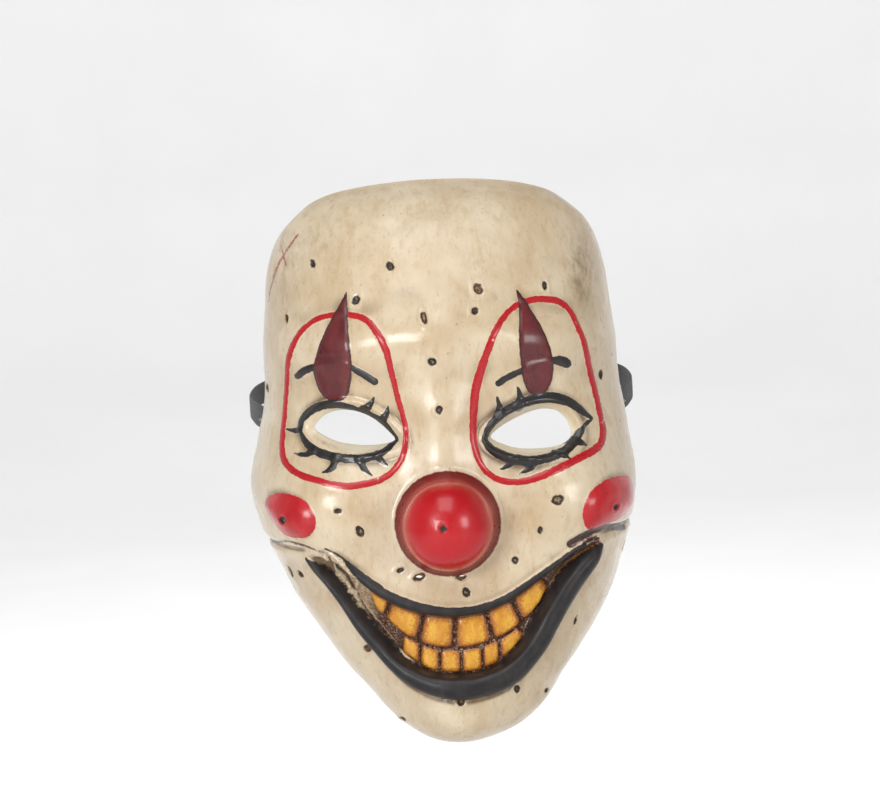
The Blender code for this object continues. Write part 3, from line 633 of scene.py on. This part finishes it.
def blurred(field, reach):
    """A grid field softened over a few cells each way."""
    kernel = np.exp(-0.5 * (np.arange(-3 * reach, 3 * reach + 1) / reach) ** 2)
    kernel /= kernel.sum()
    for axis in (0, 1):
        padded = np.pad(field, [(3 * reach, 3 * reach) if k == axis else (0, 0) for k in (0, 1)], "edge")
        field = np.apply_along_axis(lambda line: np.convolve(line, kernel, "valid"), axis, padded)
    return field


def seen_at(points):
    """Where the camera sees points of the mask: pixels across and down, and nearness."""
    ahead = SEAT - EYE_DEPTH - points[..., 1]
    rise = points[..., 2] * math.cos(CAMERA_LIFT) - ahead * math.sin(CAMERA_LIFT)
    toward = ahead * math.cos(CAMERA_LIFT) + points[..., 2] * math.sin(CAMERA_LIFT)
    scale = PIXELS_PER_MM * CAMERA_DISTANCE / (CAMERA_DISTANCE - toward)
    right, down = points[..., 0] * scale, -rise * scale
    across = EYE_PIXEL[0] + right * math.cos(CAMERA_ROLL) + down * math.sin(CAMERA_ROLL)
    below = EYE_PIXEL[1] - right * math.sin(CAMERA_ROLL) + down * math.cos(CAMERA_ROLL)
    return np.stack([across, below], -1), toward


def placer(surface, places):
    """A function that finds the flat place of a mark from where the camera sees it."""
    pixels, toward = seen_at(surface)
    core = (slice(1, -1), slice(1, -1))

    def place(mark):
        away = np.asarray(mark[:2], float)
        score = ((pixels[core] - away) ** 2).sum(-1) - 0.15 * toward[core]
        row, column = np.unravel_index(np.argmin(score), score.shape)
        row, column = row + 1, column + 1
        steps = np.stack([pixels[row + 1, column] - pixels[row - 1, column],
                          pixels[row, column + 1] - pixels[row, column - 1]], -1)
        shares = np.clip(np.linalg.lstsq(steps, away - pixels[row, column], rcond=None)[0], -1, 1)
        moves = np.stack([places[row + 1, column] - places[row - 1, column],
                          places[row, column + 1] - places[row, column - 1]], -1)
        return (*(places[row, column] + moves @ shares), *mark[2:])

    return place


def placed_marks(base, normal, x, z):
    """Every painted mark moved from the picture onto the face."""
    turn = np.linspace(0, 2 * math.pi, 16, endpoint=False)
    discs = [np.column_stack([sign * CHEEK_SPACING / 2 + CHEEK_WIDTH / 2 * np.cos(turn),
                              CHEEK_LEVEL + CHEEK_HEIGHT / 2 * np.sin(turn)]) for sign in (-1, 1)]
    surface = raised(base, normal, x, z, face_relief(x, z, discs))
    place = placer(surface, np.stack([x, z], -1))
    groups = {"rings": RINGS, "drops": DROPS, "brows": BROWS, "liners": LINERS, "lashes": LASHES,
              "cheeks": CHEEKS, "scar": SCAR, "fold_lines": FOLD_LINES, "ridges": RIDGES,
              "lip_ends": LIP_ENDS}
    marks = {name: [[place(mark) for mark in line] for line in group] for name, group in groups.items()}
    marks["dents"] = [place(mark) for mark in DENTS]
    return marks


def shell_grid():
    """Outer and inner points of the shell, the flat place of each and how deep in a recess it lies,
    and the painted marks on it."""
    rows = spread(ROW_WEIGHTS, 0, len(SECTIONS) - 1, GRID_ROWS)
    columns = spread(COLUMN_WEIGHTS[::-1] + COLUMN_WEIGHTS[1:], -1, 1, GRID_COLUMNS)
    row, across = np.meshgrid(rows, columns, indexing="ij")
    x, forward, z = base_form(row, across)
    base = np.stack([x, SEAT - forward, z], -1)
    normal = surface_normals(base)
    marks = placed_marks(base, normal, x, z)
    main = face_relief(x, z, marks["cheeks"])
    fine = main + fine_relief(marks, x, z)
    outer = raised(base, normal, x, z, fine)
    plain = raised(base, normal, x, z, blurred(lowest(main, 4), 2))
    inner = (plain - surface_normals(plain) * WALL)[::INNER_STEP, ::INNER_STEP]
    cavity = np.clip((blurred(fine, 3) - fine) / 1.2, -1, 1)
    return outer, inner, np.stack([x, z, cavity], -1), marks


def new_object(name, mesh):
    """A mesh object in the scene."""
    made = bpy.data.objects.new(name, mesh)
    bpy.context.scene.collection.objects.link(made)
    return made


def prism(name, ring, back, front, slope=0.0):
    """A closed block with the outline given in x and z, from y = front to y = back, and up by slope."""
    bm = bmesh.new()
    face = bm.faces.new([bm.verts.new((x * MM, front * MM, z * MM)) for x, z in ring])
    moved = bmesh.ops.extrude_face_region(bm, geom=[face])["geom"]
    pushed = [v for v in moved if isinstance(v, bmesh.types.BMVert)]
    bmesh.ops.translate(bm, verts=pushed, vec=(0, (back - front) * MM, slope * (back - front) * MM))
    bmesh.ops.recalc_face_normals(bm, faces=bm.faces)
    mesh = bpy.data.meshes.new(name)
    bm.to_mesh(mesh)
    bm.free()
    return new_object(name, mesh)


def shell_mesh(outer, inner):
    """One closed mesh: fine outer face, coarser inner face, and the cut edge between them."""
    verts = np.concatenate([outer.reshape(-1, 3), inner.reshape(-1, 3)]) * MM
    rows, columns = outer.shape[:2]
    half_rows, half_columns = inner.shape[:2]
    front = np.arange(rows * columns).reshape(rows, columns)
    back = rows * columns + np.arange(half_rows * half_columns).reshape(half_rows, half_columns)
    quads = np.stack([front[:-1, :-1], front[1:, :-1], front[1:, 1:], front[:-1, 1:]], -1).reshape(-1, 4)
    inside = np.stack([back[:-1, :-1], back[:-1, 1:], back[1:, 1:], back[1:, :-1]], -1).reshape(-1, 4)
    loop = np.concatenate([front[0, :-1], front[:-1, -1], front[-1, :0:-1], front[:0:-1, 0]])
    half = np.concatenate([back[0, :-1], back[:-1, -1], back[-1, :0:-1], back[:0:-1, 0]])
    edge = []
    for k, (one, two) in enumerate(zip(half, np.roll(half, -1))):
        run = [loop[(INNER_STEP * k + step) % len(loop)] for step in range(INNER_STEP + 1)]
        edge += [(a, b, one) for a, b in zip(run[:-1], run[1:-1])]
        edge += [(run[-2], two, one), (run[-2], run[-1], two)]
    mesh = bpy.data.meshes.new("painted_shell")
    mesh.from_pydata(verts.tolist(), [], quads.tolist() + inside.tolist() + [tuple(e) for e in edge])
    back_faces = np.zeros(len(mesh.polygons), np.int32)
    back_faces[len(quads):] = 1
    mesh.polygons.foreach_set("material_index", back_faces)
    return mesh


def cut_holes(shell, outer):
    """Cuts the eye holes and the two breathing holes through the shell."""
    cutters = []
    for side, sign in (("left", -1), ("right", 1)):
        cutters.append(prism("eye_cutter", eye_outline(side), 32.0, -20.0))
        turn = np.linspace(0, 2 * math.pi, 20, endpoint=False)
        nostril_x = NOSTRIL_OFFSET + sign * NOSTRIL_SPACING / 2 + NOSTRIL_WIDTH / 2 * np.cos(turn)
        nostril_z = NOSE_LEVEL - NOSTRIL_DROP + NOSTRIL_HEIGHT / 2 * np.sin(turn)
        near = np.hypot(outer[..., 0] - nostril_x.mean(), outer[..., 2] - nostril_z.mean())
        front = outer[..., 1][np.unravel_index(np.argmin(near), near.shape)]
        ring = np.column_stack([nostril_x, nostril_z - 2 * WALL * NOSTRIL_SLOPE])
        cutters.append(prism("nostril_cutter", ring, front + 5 * WALL, front - 2 * WALL, NOSTRIL_SLOPE))
    for cutter in cutters:
        cutter.data.materials.append(shell.data.materials[0])
        tool = shell.modifiers.new(cutter.name, "BOOLEAN")
        tool.operation = "DIFFERENCE"
        tool.solver = "EXACT"
        tool.object = cutter
    done = bpy.data.meshes.new_from_object(shell.evaluated_get(bpy.context.evaluated_depsgraph_get()))
    shell.modifiers.clear()
    shell.data = done
    for cutter in cutters:
        bpy.data.objects.remove(cutter, do_unlink=True)


def flat_places(mesh, outer, inner, places):
    """The flat place and recess depth of every vertex of the cut mesh, from the nearest of the grid."""
    grid = np.concatenate([outer.reshape(-1, 3), inner.reshape(-1, 3)]) * MM
    coarse = places[::INNER_STEP, ::INNER_STEP]
    known = np.concatenate([places.reshape(-1, 3), coarse.reshape(-1, 3)])
    tree = kdtree.KDTree(len(grid))
    for index, point in enumerate(grid):
        tree.insert(point, index)
    tree.balance()
    found = np.zeros((len(mesh.vertices), 3))
    for vertex in mesh.vertices:
        near = tree.find_n(vertex.co, 3)
        if near[0][2] < 1e-7:
            found[vertex.index] = known[near[0][1]]
        else:
            weights = np.array([1 / (n[2] + 1e-9) for n in near])
            found[vertex.index] = (known[[n[1] for n in near]] * weights[:, None]).sum(0) / weights.sum()
    return found


def paint_fields(marks, x, z):
    """Distances, in millimetres, from the edge of each painted area, negative inside it."""
    across = smile_lines(x)[0]
    to_top, to_edge, to_in, to_out = (square_to(k, x, z) for k in (0, 1, 3, 4))
    half = MOUTH_WIDTH / 2
    band = np.maximum.reduce([to_top, -to_edge, (-0.60 - across) * half, (across - 0.87) * half])
    roll = np.maximum.reduce([to_in, -to_out, (np.abs(across) - 0.985) * half])
    mouth = np.maximum.reduce([to_edge, -to_in, (-0.80 - across) * half, (across - 0.95) * half])
    dent, brown = dent_distance(marks["dents"], x, z)
    wash = np.zeros(x.shape)
    for wash_x, wash_z, reach_x, reach_z, strength in WASHES:
        wash += strength * np.exp(-((x - wash_x) / reach_x) ** 2 - ((z - wash_z) / reach_z) ** 2)
    return {
        "ring": strokes(marks["rings"], x, z, True),
        "drop": np.minimum(*[outside(outline(drop), x, z) for drop in marks["drops"]]),
        "black": np.minimum(strokes(marks["liners"], x, z), strokes(marks["lashes"], x, z)),
        "brow": strokes(marks["brows"], x, z),
        "lips": np.minimum.reduce([band, roll, strokes(marks["lip_ends"], x, z)]),
        "mouth": mouth,
        "tooth": teeth_height(x, z, 1.0),
        "to_roll": to_in,
        "right_corner": ramp(across, 0.63, 0.68),
        "left_corner": 1 - ramp(across, -0.66, -0.56),
        "nose": np.hypot(x, z - NOSE_LEVEL) - NOSE_PAINT,
        "cheek": np.minimum(*[outside(outline(disc), x, z) for disc in marks["cheeks"]]),
        "rim": np.minimum(*[outside(eye_outline(side), x, z) for side in ("left", "right")]),
        "dent": dent,
        "dent_brown": brown,
        "scar": strokes(marks["scar"], x, z),
        "fold": strokes(marks["fold_lines"], x, z),
        "ridge": strokes(marks["ridges"], x, z),
        "wash": np.clip(wash, 0, 1.5),
    }


class Paint:
    """Short ways to add nodes to one material."""

    def __init__(self, name):
        self.material = bpy.data.materials.new(name)
        self.material.use_nodes = True
        self.tree = self.material.node_tree
        self.shader = self.tree.nodes["Principled BSDF"]

    def put(self, kind, inputs=(), **settings):
        """A node with its settings, and its inputs linked or set in order or by name."""
        node = self.tree.nodes.new(kind)
        for key, value in settings.items():
            setattr(node, key, value)
        pairs = inputs.items() if isinstance(inputs, dict) else enumerate(inputs)
        for key, value in pairs:
            if value is None:
                continue
            if isinstance(value, bpy.types.NodeSocket):
                self.tree.links.new(value, node.inputs[key])
            else:
                node.inputs[key].default_value = value
        return node

    def field(self, name):
        """A field stored on the mesh."""
        return self.put("ShaderNodeAttribute", attribute_name=name).outputs["Fac"]

    def place(self, scale=(1, 1, 1)):
        """The point on the object, stretched."""
        where = self.put("ShaderNodeTexCoord").outputs["Object"]
        return self.put("ShaderNodeVectorMath", [where, scale], operation="MULTIPLY").outputs[0]

    def noise(self, size, detail=3.0, rough=0.55, stretch=(1, 1, 1)):
        """Noise between 0 and 1 with lumps about size millimetres wide."""
        return self.put("ShaderNodeTexNoise", {"Vector": self.place(stretch), "Scale": 1 / (size * MM),
                                               "Detail": detail, "Roughness": rough}).outputs["Fac"]

    def maths(self, operation, one, two=None, three=None):
        """One arithmetic node."""
        return self.put("ShaderNodeMath", [one, two, three], operation=operation).outputs[0]

    def span(self, value, low, high, start=0.0, end=1.0):
        """The value's rise from low to high, made smooth, as start to end."""
        inputs = {"Value": value, "From Min": low, "From Max": high, "To Min": start, "To Max": end}
        return self.put("ShaderNodeMapRange", inputs, interpolation_type="SMOOTHSTEP").outputs[0]

    def mix(self, share, one, two):
        """A blend of two colours."""
        inputs = {0: share, 6: one, 7: two}
        return self.put("ShaderNodeMix", inputs, data_type="RGBA").outputs[2]

    def inside(self, name, wobble, soft=0.14, shift=0.0):
        """1 inside a painted area and 0 outside, with a hand-painted edge."""
        distance = self.maths("ADD", self.field(name), wobble)
        return self.span(distance, shift + soft, shift - soft)

    def bump(self, height, strength, distance):
        """A bump from a height field."""
        inputs = {"Height": height, "Strength": strength, "Distance": distance * MM}
        return self.put("ShaderNodeBump", inputs).outputs[0]


def colour(red, green, blue):
    """A colour given as it looks on a screen, 0 to 255."""
    def linear(value):
        share = value / 255
        return share / 12.92 if share <= 0.04045 else ((share + 0.055) / 1.055) ** 2.4
    return (linear(red), linear(green), linear(blue), 1.0)


def painted_plastic():
    """Aged cream paint with its coloured details, under a clear gloss."""
    p = Paint("painted_plastic")
    wobble = p.maths("MULTIPLY", p.maths("SUBTRACT", p.noise(2.2, 3.0), 0.5), 0.9)
    ragged = p.maths("MULTIPLY", wobble, 1.8)
    fine = p.noise(0.9, 4.0)
    clouds = p.noise(26.0, 4.0)
    streaks = p.noise(5.0, 4.0, 0.6, (1.3, 1.0, 0.6))
    brush = p.noise(2.2, 6.0, 0.68, (1.5, 1.0, 0.55))
    blotch = p.noise(9.0, 5.0, 0.6)
    skin = p.mix(p.span(clouds, 0.32, 0.68), colour(216, 192, 156), colour(235, 217, 187))
    skin = p.mix(p.span(streaks, 0.46, 0.74, 0.0, 0.45), skin, colour(200, 168, 124))
    skin = p.mix(p.span(brush, 0.54, 0.74, 0.0, 0.32), skin, colour(158, 128, 88))
    speckle = p.span(p.noise(1.6, 2.0), 0.66, 0.78, 0.0, 0.5)
    skin = p.mix(speckle, skin, colour(150, 116, 76))
    patchy = p.span(blotch, 0.25, 0.6, 0.5, 1.0)
    recess = p.maths("MULTIPLY", p.span(p.field("cavity"), 0.06, 0.45), patchy)
    skin = p.mix(p.maths("MULTIPLY", recess, 0.9), skin, colour(104, 74, 42))
    wash = p.maths("MULTIPLY", p.field("wash"), p.span(blotch, 0.30, 0.66, 0.15, 1.0))
    wash = p.maths("MULTIPLY", wash, p.span(brush, 0.30, 0.60, 0.55, 1.0))
    skin = p.mix(p.span(wash, 0.0, 1.3, 0.0, 0.85), skin, colour(122, 90, 52))
    skin = p.mix(p.inside("rim", wobble, 0.5, 1.6), skin, colour(226, 212, 184))
    cheek_red = p.mix(p.span(streaks, 0.35, 0.75), colour(190, 10, 22), colour(214, 26, 36))
    skin = p.mix(p.inside("cheek", wobble), skin, cheek_red)
    ring_red = p.mix(p.span(fine, 0.3, 0.7), colour(178, 10, 22), colour(206, 18, 30))
    worn = p.span(p.noise(5.0, 3.0), 0.24, 0.32)
    skin = p.mix(p.maths("MULTIPLY", p.inside("ring", wobble), worn), skin, ring_red)
    ink = p.mix(p.span(streaks, 0.3, 0.8), colour(28, 25, 26), colour(50, 44, 43))
    skin = p.mix(p.inside("brow", wobble), skin, ink)
    drop_red = p.mix(p.span(streaks, 0.3, 0.7), colour(88, 24, 28), colour(118, 38, 40))
    drop_edge = p.inside("drop", wobble, 0.2, -0.7)
    drop_red = p.mix(drop_edge, colour(66, 20, 20), drop_red)
    skin = p.mix(p.inside("drop", wobble), skin, drop_red)
    nose_red = p.mix(p.span(clouds, 0.3, 0.7), colour(190, 0, 16), colour(208, 4, 24))
    # Painted shade: the red turns darker on the flared foot round the ball, where the ball rounds away from
    # the light.
    nose_red = p.mix(p.span(p.field("nose"), -4.6, -1.2), nose_red, colour(118, 6, 14))
    skin = p.mix(p.inside("nose", wobble, 0.25), skin, nose_red)
    gold = p.mix(p.span(streaks, 0.3, 0.7), colour(222, 146, 34), colour(246, 186, 60))
    tooth = p.maths("ADD", p.field("tooth"), p.maths("MULTIPLY", p.maths("SUBTRACT", fine, 0.5), 0.45))
    # Painted shade: the gold darkens to orange towards each tooth's rounded edges.
    gold = p.mix(p.span(tooth, 0.82, 1.0), colour(186, 108, 28), gold)
    flecks = p.span(p.noise(0.7, 2.0), 0.56, 0.66)
    # The brown cleft colour is paint in the gaps between teeth; where it runs along the top of the upper
    # row, under the lip, it is painted shadow.
    cleft = p.mix(flecks, colour(84, 48, 30), colour(186, 158, 128))
    teeth = p.mix(p.span(tooth, 0.62, 0.80), cleft, gold)
    bent = p.maths("MULTIPLY", wobble, 6.0)
    stripes = p.maths("SINE", p.maths("MULTIPLY_ADD", p.field("to_roll"), 5.2, bent))
    right_gum = p.mix(p.span(stripes, 0.2, 0.9), colour(62, 26, 20), colour(150, 108, 58))
    left_gum = p.mix(p.span(fine, 0.35, 0.65), colour(146, 116, 84), colour(196, 170, 134))
    corner = p.mix(p.field("right_corner"), p.mix(p.field("left_corner"), teeth, left_gum), right_gum)
    skin = p.mix(p.inside("mouth", wobble, 0.14, 0.8), skin, corner)
    ridge = p.mix(p.span(fine, 0.35, 0.7), colour(228, 212, 184), colour(186, 158, 120))
    skin = p.mix(p.inside("ridge", wobble, 0.2), skin, ridge)
    fold = p.mix(p.span(fine, 0.3, 0.7), colour(40, 20, 16), colour(84, 48, 34))
    skin = p.mix(p.inside("fold", wobble, 0.3), skin, fold)
    skin = p.mix(p.inside("lips", wobble), skin, ink)
    skin = p.mix(p.inside("black", wobble), skin, ink)
    dent_ink = p.mix(p.field("dent_brown"), colour(30, 23, 18), colour(96, 60, 36))
    skin = p.mix(p.maths("MULTIPLY", p.inside("dent", ragged, 0.25), p.span(fine, 0.28, 0.4, 0.6, 1.0)),
                 skin, dent_ink)
    core = p.maths("MULTIPLY", p.inside("dent", ragged, 0.3, -0.95), p.span(fine, 0.42, 0.6))
    skin = p.mix(core, skin, colour(158, 132, 96))
    skin = p.mix(p.maths("MULTIPLY", p.inside("scar", wobble, 0.3), 0.85), skin, colour(150, 26, 24))
    p.tree.links.new(skin, p.shader.inputs["Base Color"])
    matt = p.maths("MAXIMUM", p.inside("lips", wobble), p.inside("dent", wobble))
    gloss = p.span(p.noise(7.0, 4.0), 0.3, 0.7, 0.27, 0.40)
    gloss = p.maths("ADD", gloss, p.maths("MULTIPLY", matt, 0.14))
    p.tree.links.new(gloss, p.shader.inputs["Roughness"])
    coat = p.maths("SUBTRACT", 0.5, p.maths("MULTIPLY", matt, 0.42))
    p.tree.links.new(coat, p.shader.inputs["Coat Weight"])
    p.shader.inputs["Coat Roughness"].default_value = 0.16
    grain = p.maths("ADD", p.maths("MULTIPLY", streaks, 0.6), p.maths("MULTIPLY", fine, 0.4))
    p.tree.links.new(p.bump(grain, 0.35, 0.25), p.shader.inputs["Normal"])
    return p.material


def bare_plastic():
    """The shell's unpainted inside: smooth off-white sheet with faint flow marks."""
    p = Paint("bare_plastic")
    tone = p.mix(p.span(p.noise(30.0, 3.0), 0.3, 0.7), colour(214, 206, 190), colour(228, 222, 208))
    scuff = p.span(p.noise(4.0, 6.0, 0.7), 0.62, 0.80, 0.0, 0.35)
    p.tree.links.new(p.mix(scuff, tone, colour(176, 160, 136)), p.shader.inputs["Base Color"])
    p.tree.links.new(p.span(p.noise(12.0, 4.0), 0.3, 0.7, 0.34, 0.5), p.shader.inputs["Roughness"])
    p.tree.links.new(p.bump(p.noise(1.4, 3.0), 0.3, 0.12), p.shader.inputs["Normal"])
    return p.material


def make_shell():
    """The whole painted shell, in place of the plain solid."""
    outer, inner, places, marks = shell_grid()
    mesh = shell_mesh(outer, inner)
    shell = new_object("painted_shell", mesh)
    mesh.materials.append(painted_plastic())
    mesh.materials.append(bare_plastic())
    cut_holes(shell, outer)
    found = flat_places(shell.data, outer, inner, places)
    fields = paint_fields(marks, found[:, 0], found[:, 1])
    fields["cavity"] = found[:, 2]
    for name, values in fields.items():
        layer = shell.data.attributes.new(name, "FLOAT", "POINT")
        layer.data.foreach_set("value", np.ascontiguousarray(values, np.float32))
    shell.data.shade_smooth()
    shell.data.set_sharp_from_angle(angle=math.radians(62))
    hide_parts("mask_shell")
    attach(shell, "root")
    return shell


def side_point(side, level, inset):
    """The shell's outer face near its rim: a point, the outward normal and the way to the rim."""
    sign = 1 if side == "right" else -1
    rows = np.linspace(3, 9, 121)
    heights = base_form(rows, np.ones(121) * sign)[2]
    row = np.interp(level, heights[::-1], rows[::-1])
    near = np.linspace(0.5, 1.0, 401)
    forward = base_form(np.full(401, row), near * sign)[1]
    across = np.interp(forward[-1] + inset, forward[::-1], near[::-1])
    step = 0.002
    places = [(row, across), (row - step, across), (row + step, across), (row, across - step),
              (row, across + step)]
    found = []
    for r, a in places:
        x, forward, z = base_form(np.array([r]), np.array([a * sign]))
        found.append(Vector((float(x[0]), SEAT - float(forward[0]), float(z[0]))))
    up = (found[1] - found[2]).normalized()
    to_rim = (found[4] - found[3]).normalized()
    normal = up.cross(to_rim) * -sign
    normal.normalize()
    if normal.x * sign < 0:
        normal.negate()
    return found[0], normal, to_rim


def band_end(side):
    """Centres and upward directions of the elastic inside the shell, from its end to past the rim."""
    drop = WALL + GAP + BAND_THICKNESS / 2
    run = []
    for inset in np.linspace(BAND_OVERLAP, 0.5, 6):
        point, normal, to_rim = side_point(side, BAND_LEVEL, float(inset))
        up = to_rim.cross(normal).normalized()
        run.append((point - normal * drop, up if up.z > 0 else -up))
    run.append((run[-1][0] + to_rim * BAND_CLEAR, run[-1][1]))
    return run


def band_stations():
    """Centres and upward directions of the elastic's sections, left end to right end."""
    left = band_end("left")
    right = band_end("right")
    start = (left[-1][0].y + right[-1][0].y) / 2
    half = [(across * HEAD_WIDTH / 2, start + back * (HEAD_REACH - start), BAND_LEVEL + lift * BAND_LIFT)
            for across, back, lift in BAND_ROUTE]
    loop = [(-x, y, z) for x, y, z in half[:-1]] + half[::-1]
    route = [left[-2][0], left[-1][0], *loop, right[-1][0], right[-2][0]]
    count = 24 * (len(route) - 3)
    curve = spline([tuple(p) for p in route], np.linspace(1, len(route) - 2, count + 1))[1:-1]
    upright = Vector((0, 0, 1))
    free = []
    for k, point in enumerate(curve, 1):
        lean = left[-1][1] if k <= count / 2 else right[-1][1]
        turned = min(1.0, min(k, count - k) / 32)
        free.append((Vector(point), lean.lerp(upright, turned).normalized()))
    return left + free + right[::-1]


def elastic_material():
    """Black knitted elastic: ribs along it, close stitches across."""
    p = Paint("black_elastic")
    along = p.field("along")
    rib = p.maths("SINE", p.maths("MULTIPLY", p.field("rib"), 2 * math.pi))
    stitch = p.maths("SINE", p.maths("ADD", p.maths("MULTIPLY", along, 2 * math.pi / BAND_STITCH), rib))
    weave = p.maths("MULTIPLY", p.span(stitch, -1, 1), p.span(rib, -1, 1, 0.5, 1.0))
    fuzz = p.noise(0.5, 3.0)
    tone = p.mix(p.span(weave, 0.1, 0.9), colour(14, 14, 15), colour(52, 51, 54))
    tone = p.mix(p.span(fuzz, 0.55, 0.8, 0.0, 0.4), tone, colour(74, 73, 76))
    p.tree.links.new(tone, p.shader.inputs["Base Color"])
    p.tree.links.new(p.span(fuzz, 0.3, 0.7, 0.72, 0.9), p.shader.inputs["Roughness"])
    p.shader.inputs["Sheen Weight"].default_value = 0.3
    p.tree.links.new(p.bump(weave, 0.8, 0.25), p.shader.inputs["Normal"])
    return p.material


def make_elastic():
    """The flat elastic with rounded edges and raised ribs, in place of the plain strip."""
    stations = band_stations()
    across = np.linspace(-1, 1, 4 * BAND_RIBS + 1)
    swell = 0.5 * BAND_THICKNESS * (0.80 + 0.20 * np.abs(np.cos(across * BAND_RIBS * math.pi / 2)))
    swell *= np.sqrt(np.clip(1.02 - across ** 8, 0, 1))
    section = [(a, s) for a, s in zip(across, swell)] + [(a, -s) for a, s in zip(across[::-1], swell[::-1])]
    centres = [c for c, _ in stations]
    bm = bmesh.new()
    along_layer = bm.verts.layers.float.new("along")
    rib_layer = bm.verts.layers.float.new("rib")
    rings = []
    travelled = 0.0
    for k, (centre, up) in enumerate(stations):
        way = (centres[min(k + 1, len(centres) - 1)] - centres[max(k - 1, 0)]).normalized()
        out = way.cross(up).normalized()
        rise = out.cross(way).normalized()
        if rise.z < 0:
            rise.negate()
        travelled += (centre - centres[max(k - 1, 0)]).length
        ring = []
        for a, s in section:
            vert = bm.verts.new((centre + rise * (a * BAND_WIDTH / 2) + out * s) * MM)
            vert[along_layer] = travelled
            vert[rib_layer] = a * BAND_RIBS / 2
            ring.append(vert)
        rings.append(ring)
    size = len(section)
    for one, two in zip(rings, rings[1:]):
        for k in range(size):
            bm.faces.new((one[k], one[(k + 1) % size], two[(k + 1) % size], two[k]))
    bm.faces.new(rings[0])
    bm.faces.new(rings[-1][::-1])
    bmesh.ops.recalc_face_normals(bm, faces=bm.faces)
    mesh = bpy.data.meshes.new("woven_elastic")
    bm.to_mesh(mesh)
    bm.free()
    mesh.materials.append(elastic_material())
    mesh.shade_smooth()
    mesh.set_sharp_from_angle(angle=math.radians(60))
    band = new_object("woven_elastic", mesh)
    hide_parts("elastic_band")
    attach(band, "root")


def steel_material():
    """Bright drawn wire with fine scratches and a little tarnish."""
    p = Paint("staple_steel")
    tarnish = p.span(p.noise(1.2, 4.0), 0.45, 0.75)
    tone = p.mix(tarnish, colour(190, 188, 182), colour(132, 124, 110))
    p.tree.links.new(tone, p.shader.inputs["Base Color"])
    p.shader.inputs["Metallic"].default_value = 1.0
    p.tree.links.new(p.span(tarnish, 0.0, 1.0, 0.25, 0.5), p.shader.inputs["Roughness"])
    p.tree.links.new(p.bump(p.noise(0.25, 2.0), 0.3, 0.03), p.shader.inputs["Normal"])
    return p.material


def studio_material():
    """A pale matt floor with a faint unevenness."""
    p = Paint("studio_pale")
    tone = p.mix(p.noise(160.0, 2.0), colour(238, 238, 238), colour(244, 244, 244))
    p.tree.links.new(tone, p.shader.inputs["Base Color"])
    p.shader.inputs["Roughness"].default_value = 0.9
    return p.material


def make_stage():
    """A round pale floor that curves up into a wall on every side."""
    bm = bmesh.new()
    line = [bm.verts.new((out, 0, FLOOR_LEVEL + up)) for out, up in FLOOR_CURVE]
    edges = [bm.edges.new(pair) for pair in zip(line, line[1:])]
    bmesh.ops.spin(bm, geom=line + edges, cent=(0, 0, 0), axis=(0, 0, 1), angle=2 * math.pi,
                   steps=FLOOR_STEPS)
    bmesh.ops.remove_doubles(bm, verts=bm.verts, dist=1e-5)
    bmesh.ops.recalc_face_normals(bm, faces=bm.faces)
    mesh = bpy.data.meshes.new("studio_floor")
    bm.to_mesh(mesh)
    bm.free()
    mesh.materials.append(studio_material())
    mesh.shade_smooth()
    new_object("studio_floor", mesh)


def add_light(name, place, aim, size, watts):
    """A soft square light at a place, turned towards its aim."""
    data = bpy.data.lights.new(name, "AREA")
    data.size = size
    data.energy = watts
    light = bpy.data.objects.new(name, data)
    bpy.context.scene.collection.objects.link(light)
    light.location = place
    light.rotation_euler = (Vector(aim) - Vector(place)).to_track_quat("-Z", "Y").to_euler()


def make_camera():
    """The photograph's view: the point midway between the eyes at its own pixel, the head tilted."""
    distance = CAMERA_DISTANCE * MM
    target = Vector((0, (SEAT - EYE_DEPTH) * MM, 0))
    away = Vector((0, -math.cos(CAMERA_LIFT), math.sin(CAMERA_LIFT)))
    right = Vector((1, 0, 0))
    up = away.cross(right)
    image_right = right * math.cos(CAMERA_ROLL) - up * math.sin(CAMERA_ROLL)
    image_up = right * math.sin(CAMERA_ROLL) + up * math.cos(CAMERA_ROLL)
    place = target + away * distance
    per_pixel = MM / PIXELS_PER_MM
    aim = target - image_right * ((EYE_PIXEL[0] - VIEW_WIDTH / 2) * per_pixel)
    aim += image_up * ((EYE_PIXEL[1] - VIEW_HEIGHT / 2) * per_pixel)
    back = (place - aim).normalized()
    side = image_up.cross(back).normalized()
    rise = back.cross(side)
    data = bpy.data.cameras.new("camera")
    data.sensor_width = 36.0
    data.lens = data.sensor_width * PIXELS_PER_MM * CAMERA_DISTANCE / VIEW_WIDTH
    camera = bpy.data.objects.new("camera", data)
    bpy.context.scene.collection.objects.link(camera)
    camera.matrix_world = Matrix.Translation(place) @ Matrix((side, rise, back)).transposed().to_4x4()
    bpy.context.scene.camera = camera


def light_studio():
    """Soft white surroundings, soft boxes beside and above the camera, and one on the backdrop."""
    scene = bpy.context.scene
    scene.view_settings.view_transform = "Standard"
    world = bpy.data.worlds.new("studio")
    world.use_nodes = True
    background = world.node_tree.nodes["Background"]
    background.inputs["Color"].default_value = (1, 1, 1, 1)
    background.inputs["Strength"].default_value = SURROUNDINGS
    scene.world = world
    for light in LIGHTS:
        add_light(*light)


make_camera()
make_stage()
make_shell()
make_elastic()
steel = steel_material()
for node in ("staple_left", "staple_right"):
    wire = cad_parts[node].data.materials
    wire.clear()
    wire.append(steel)
light_studio()
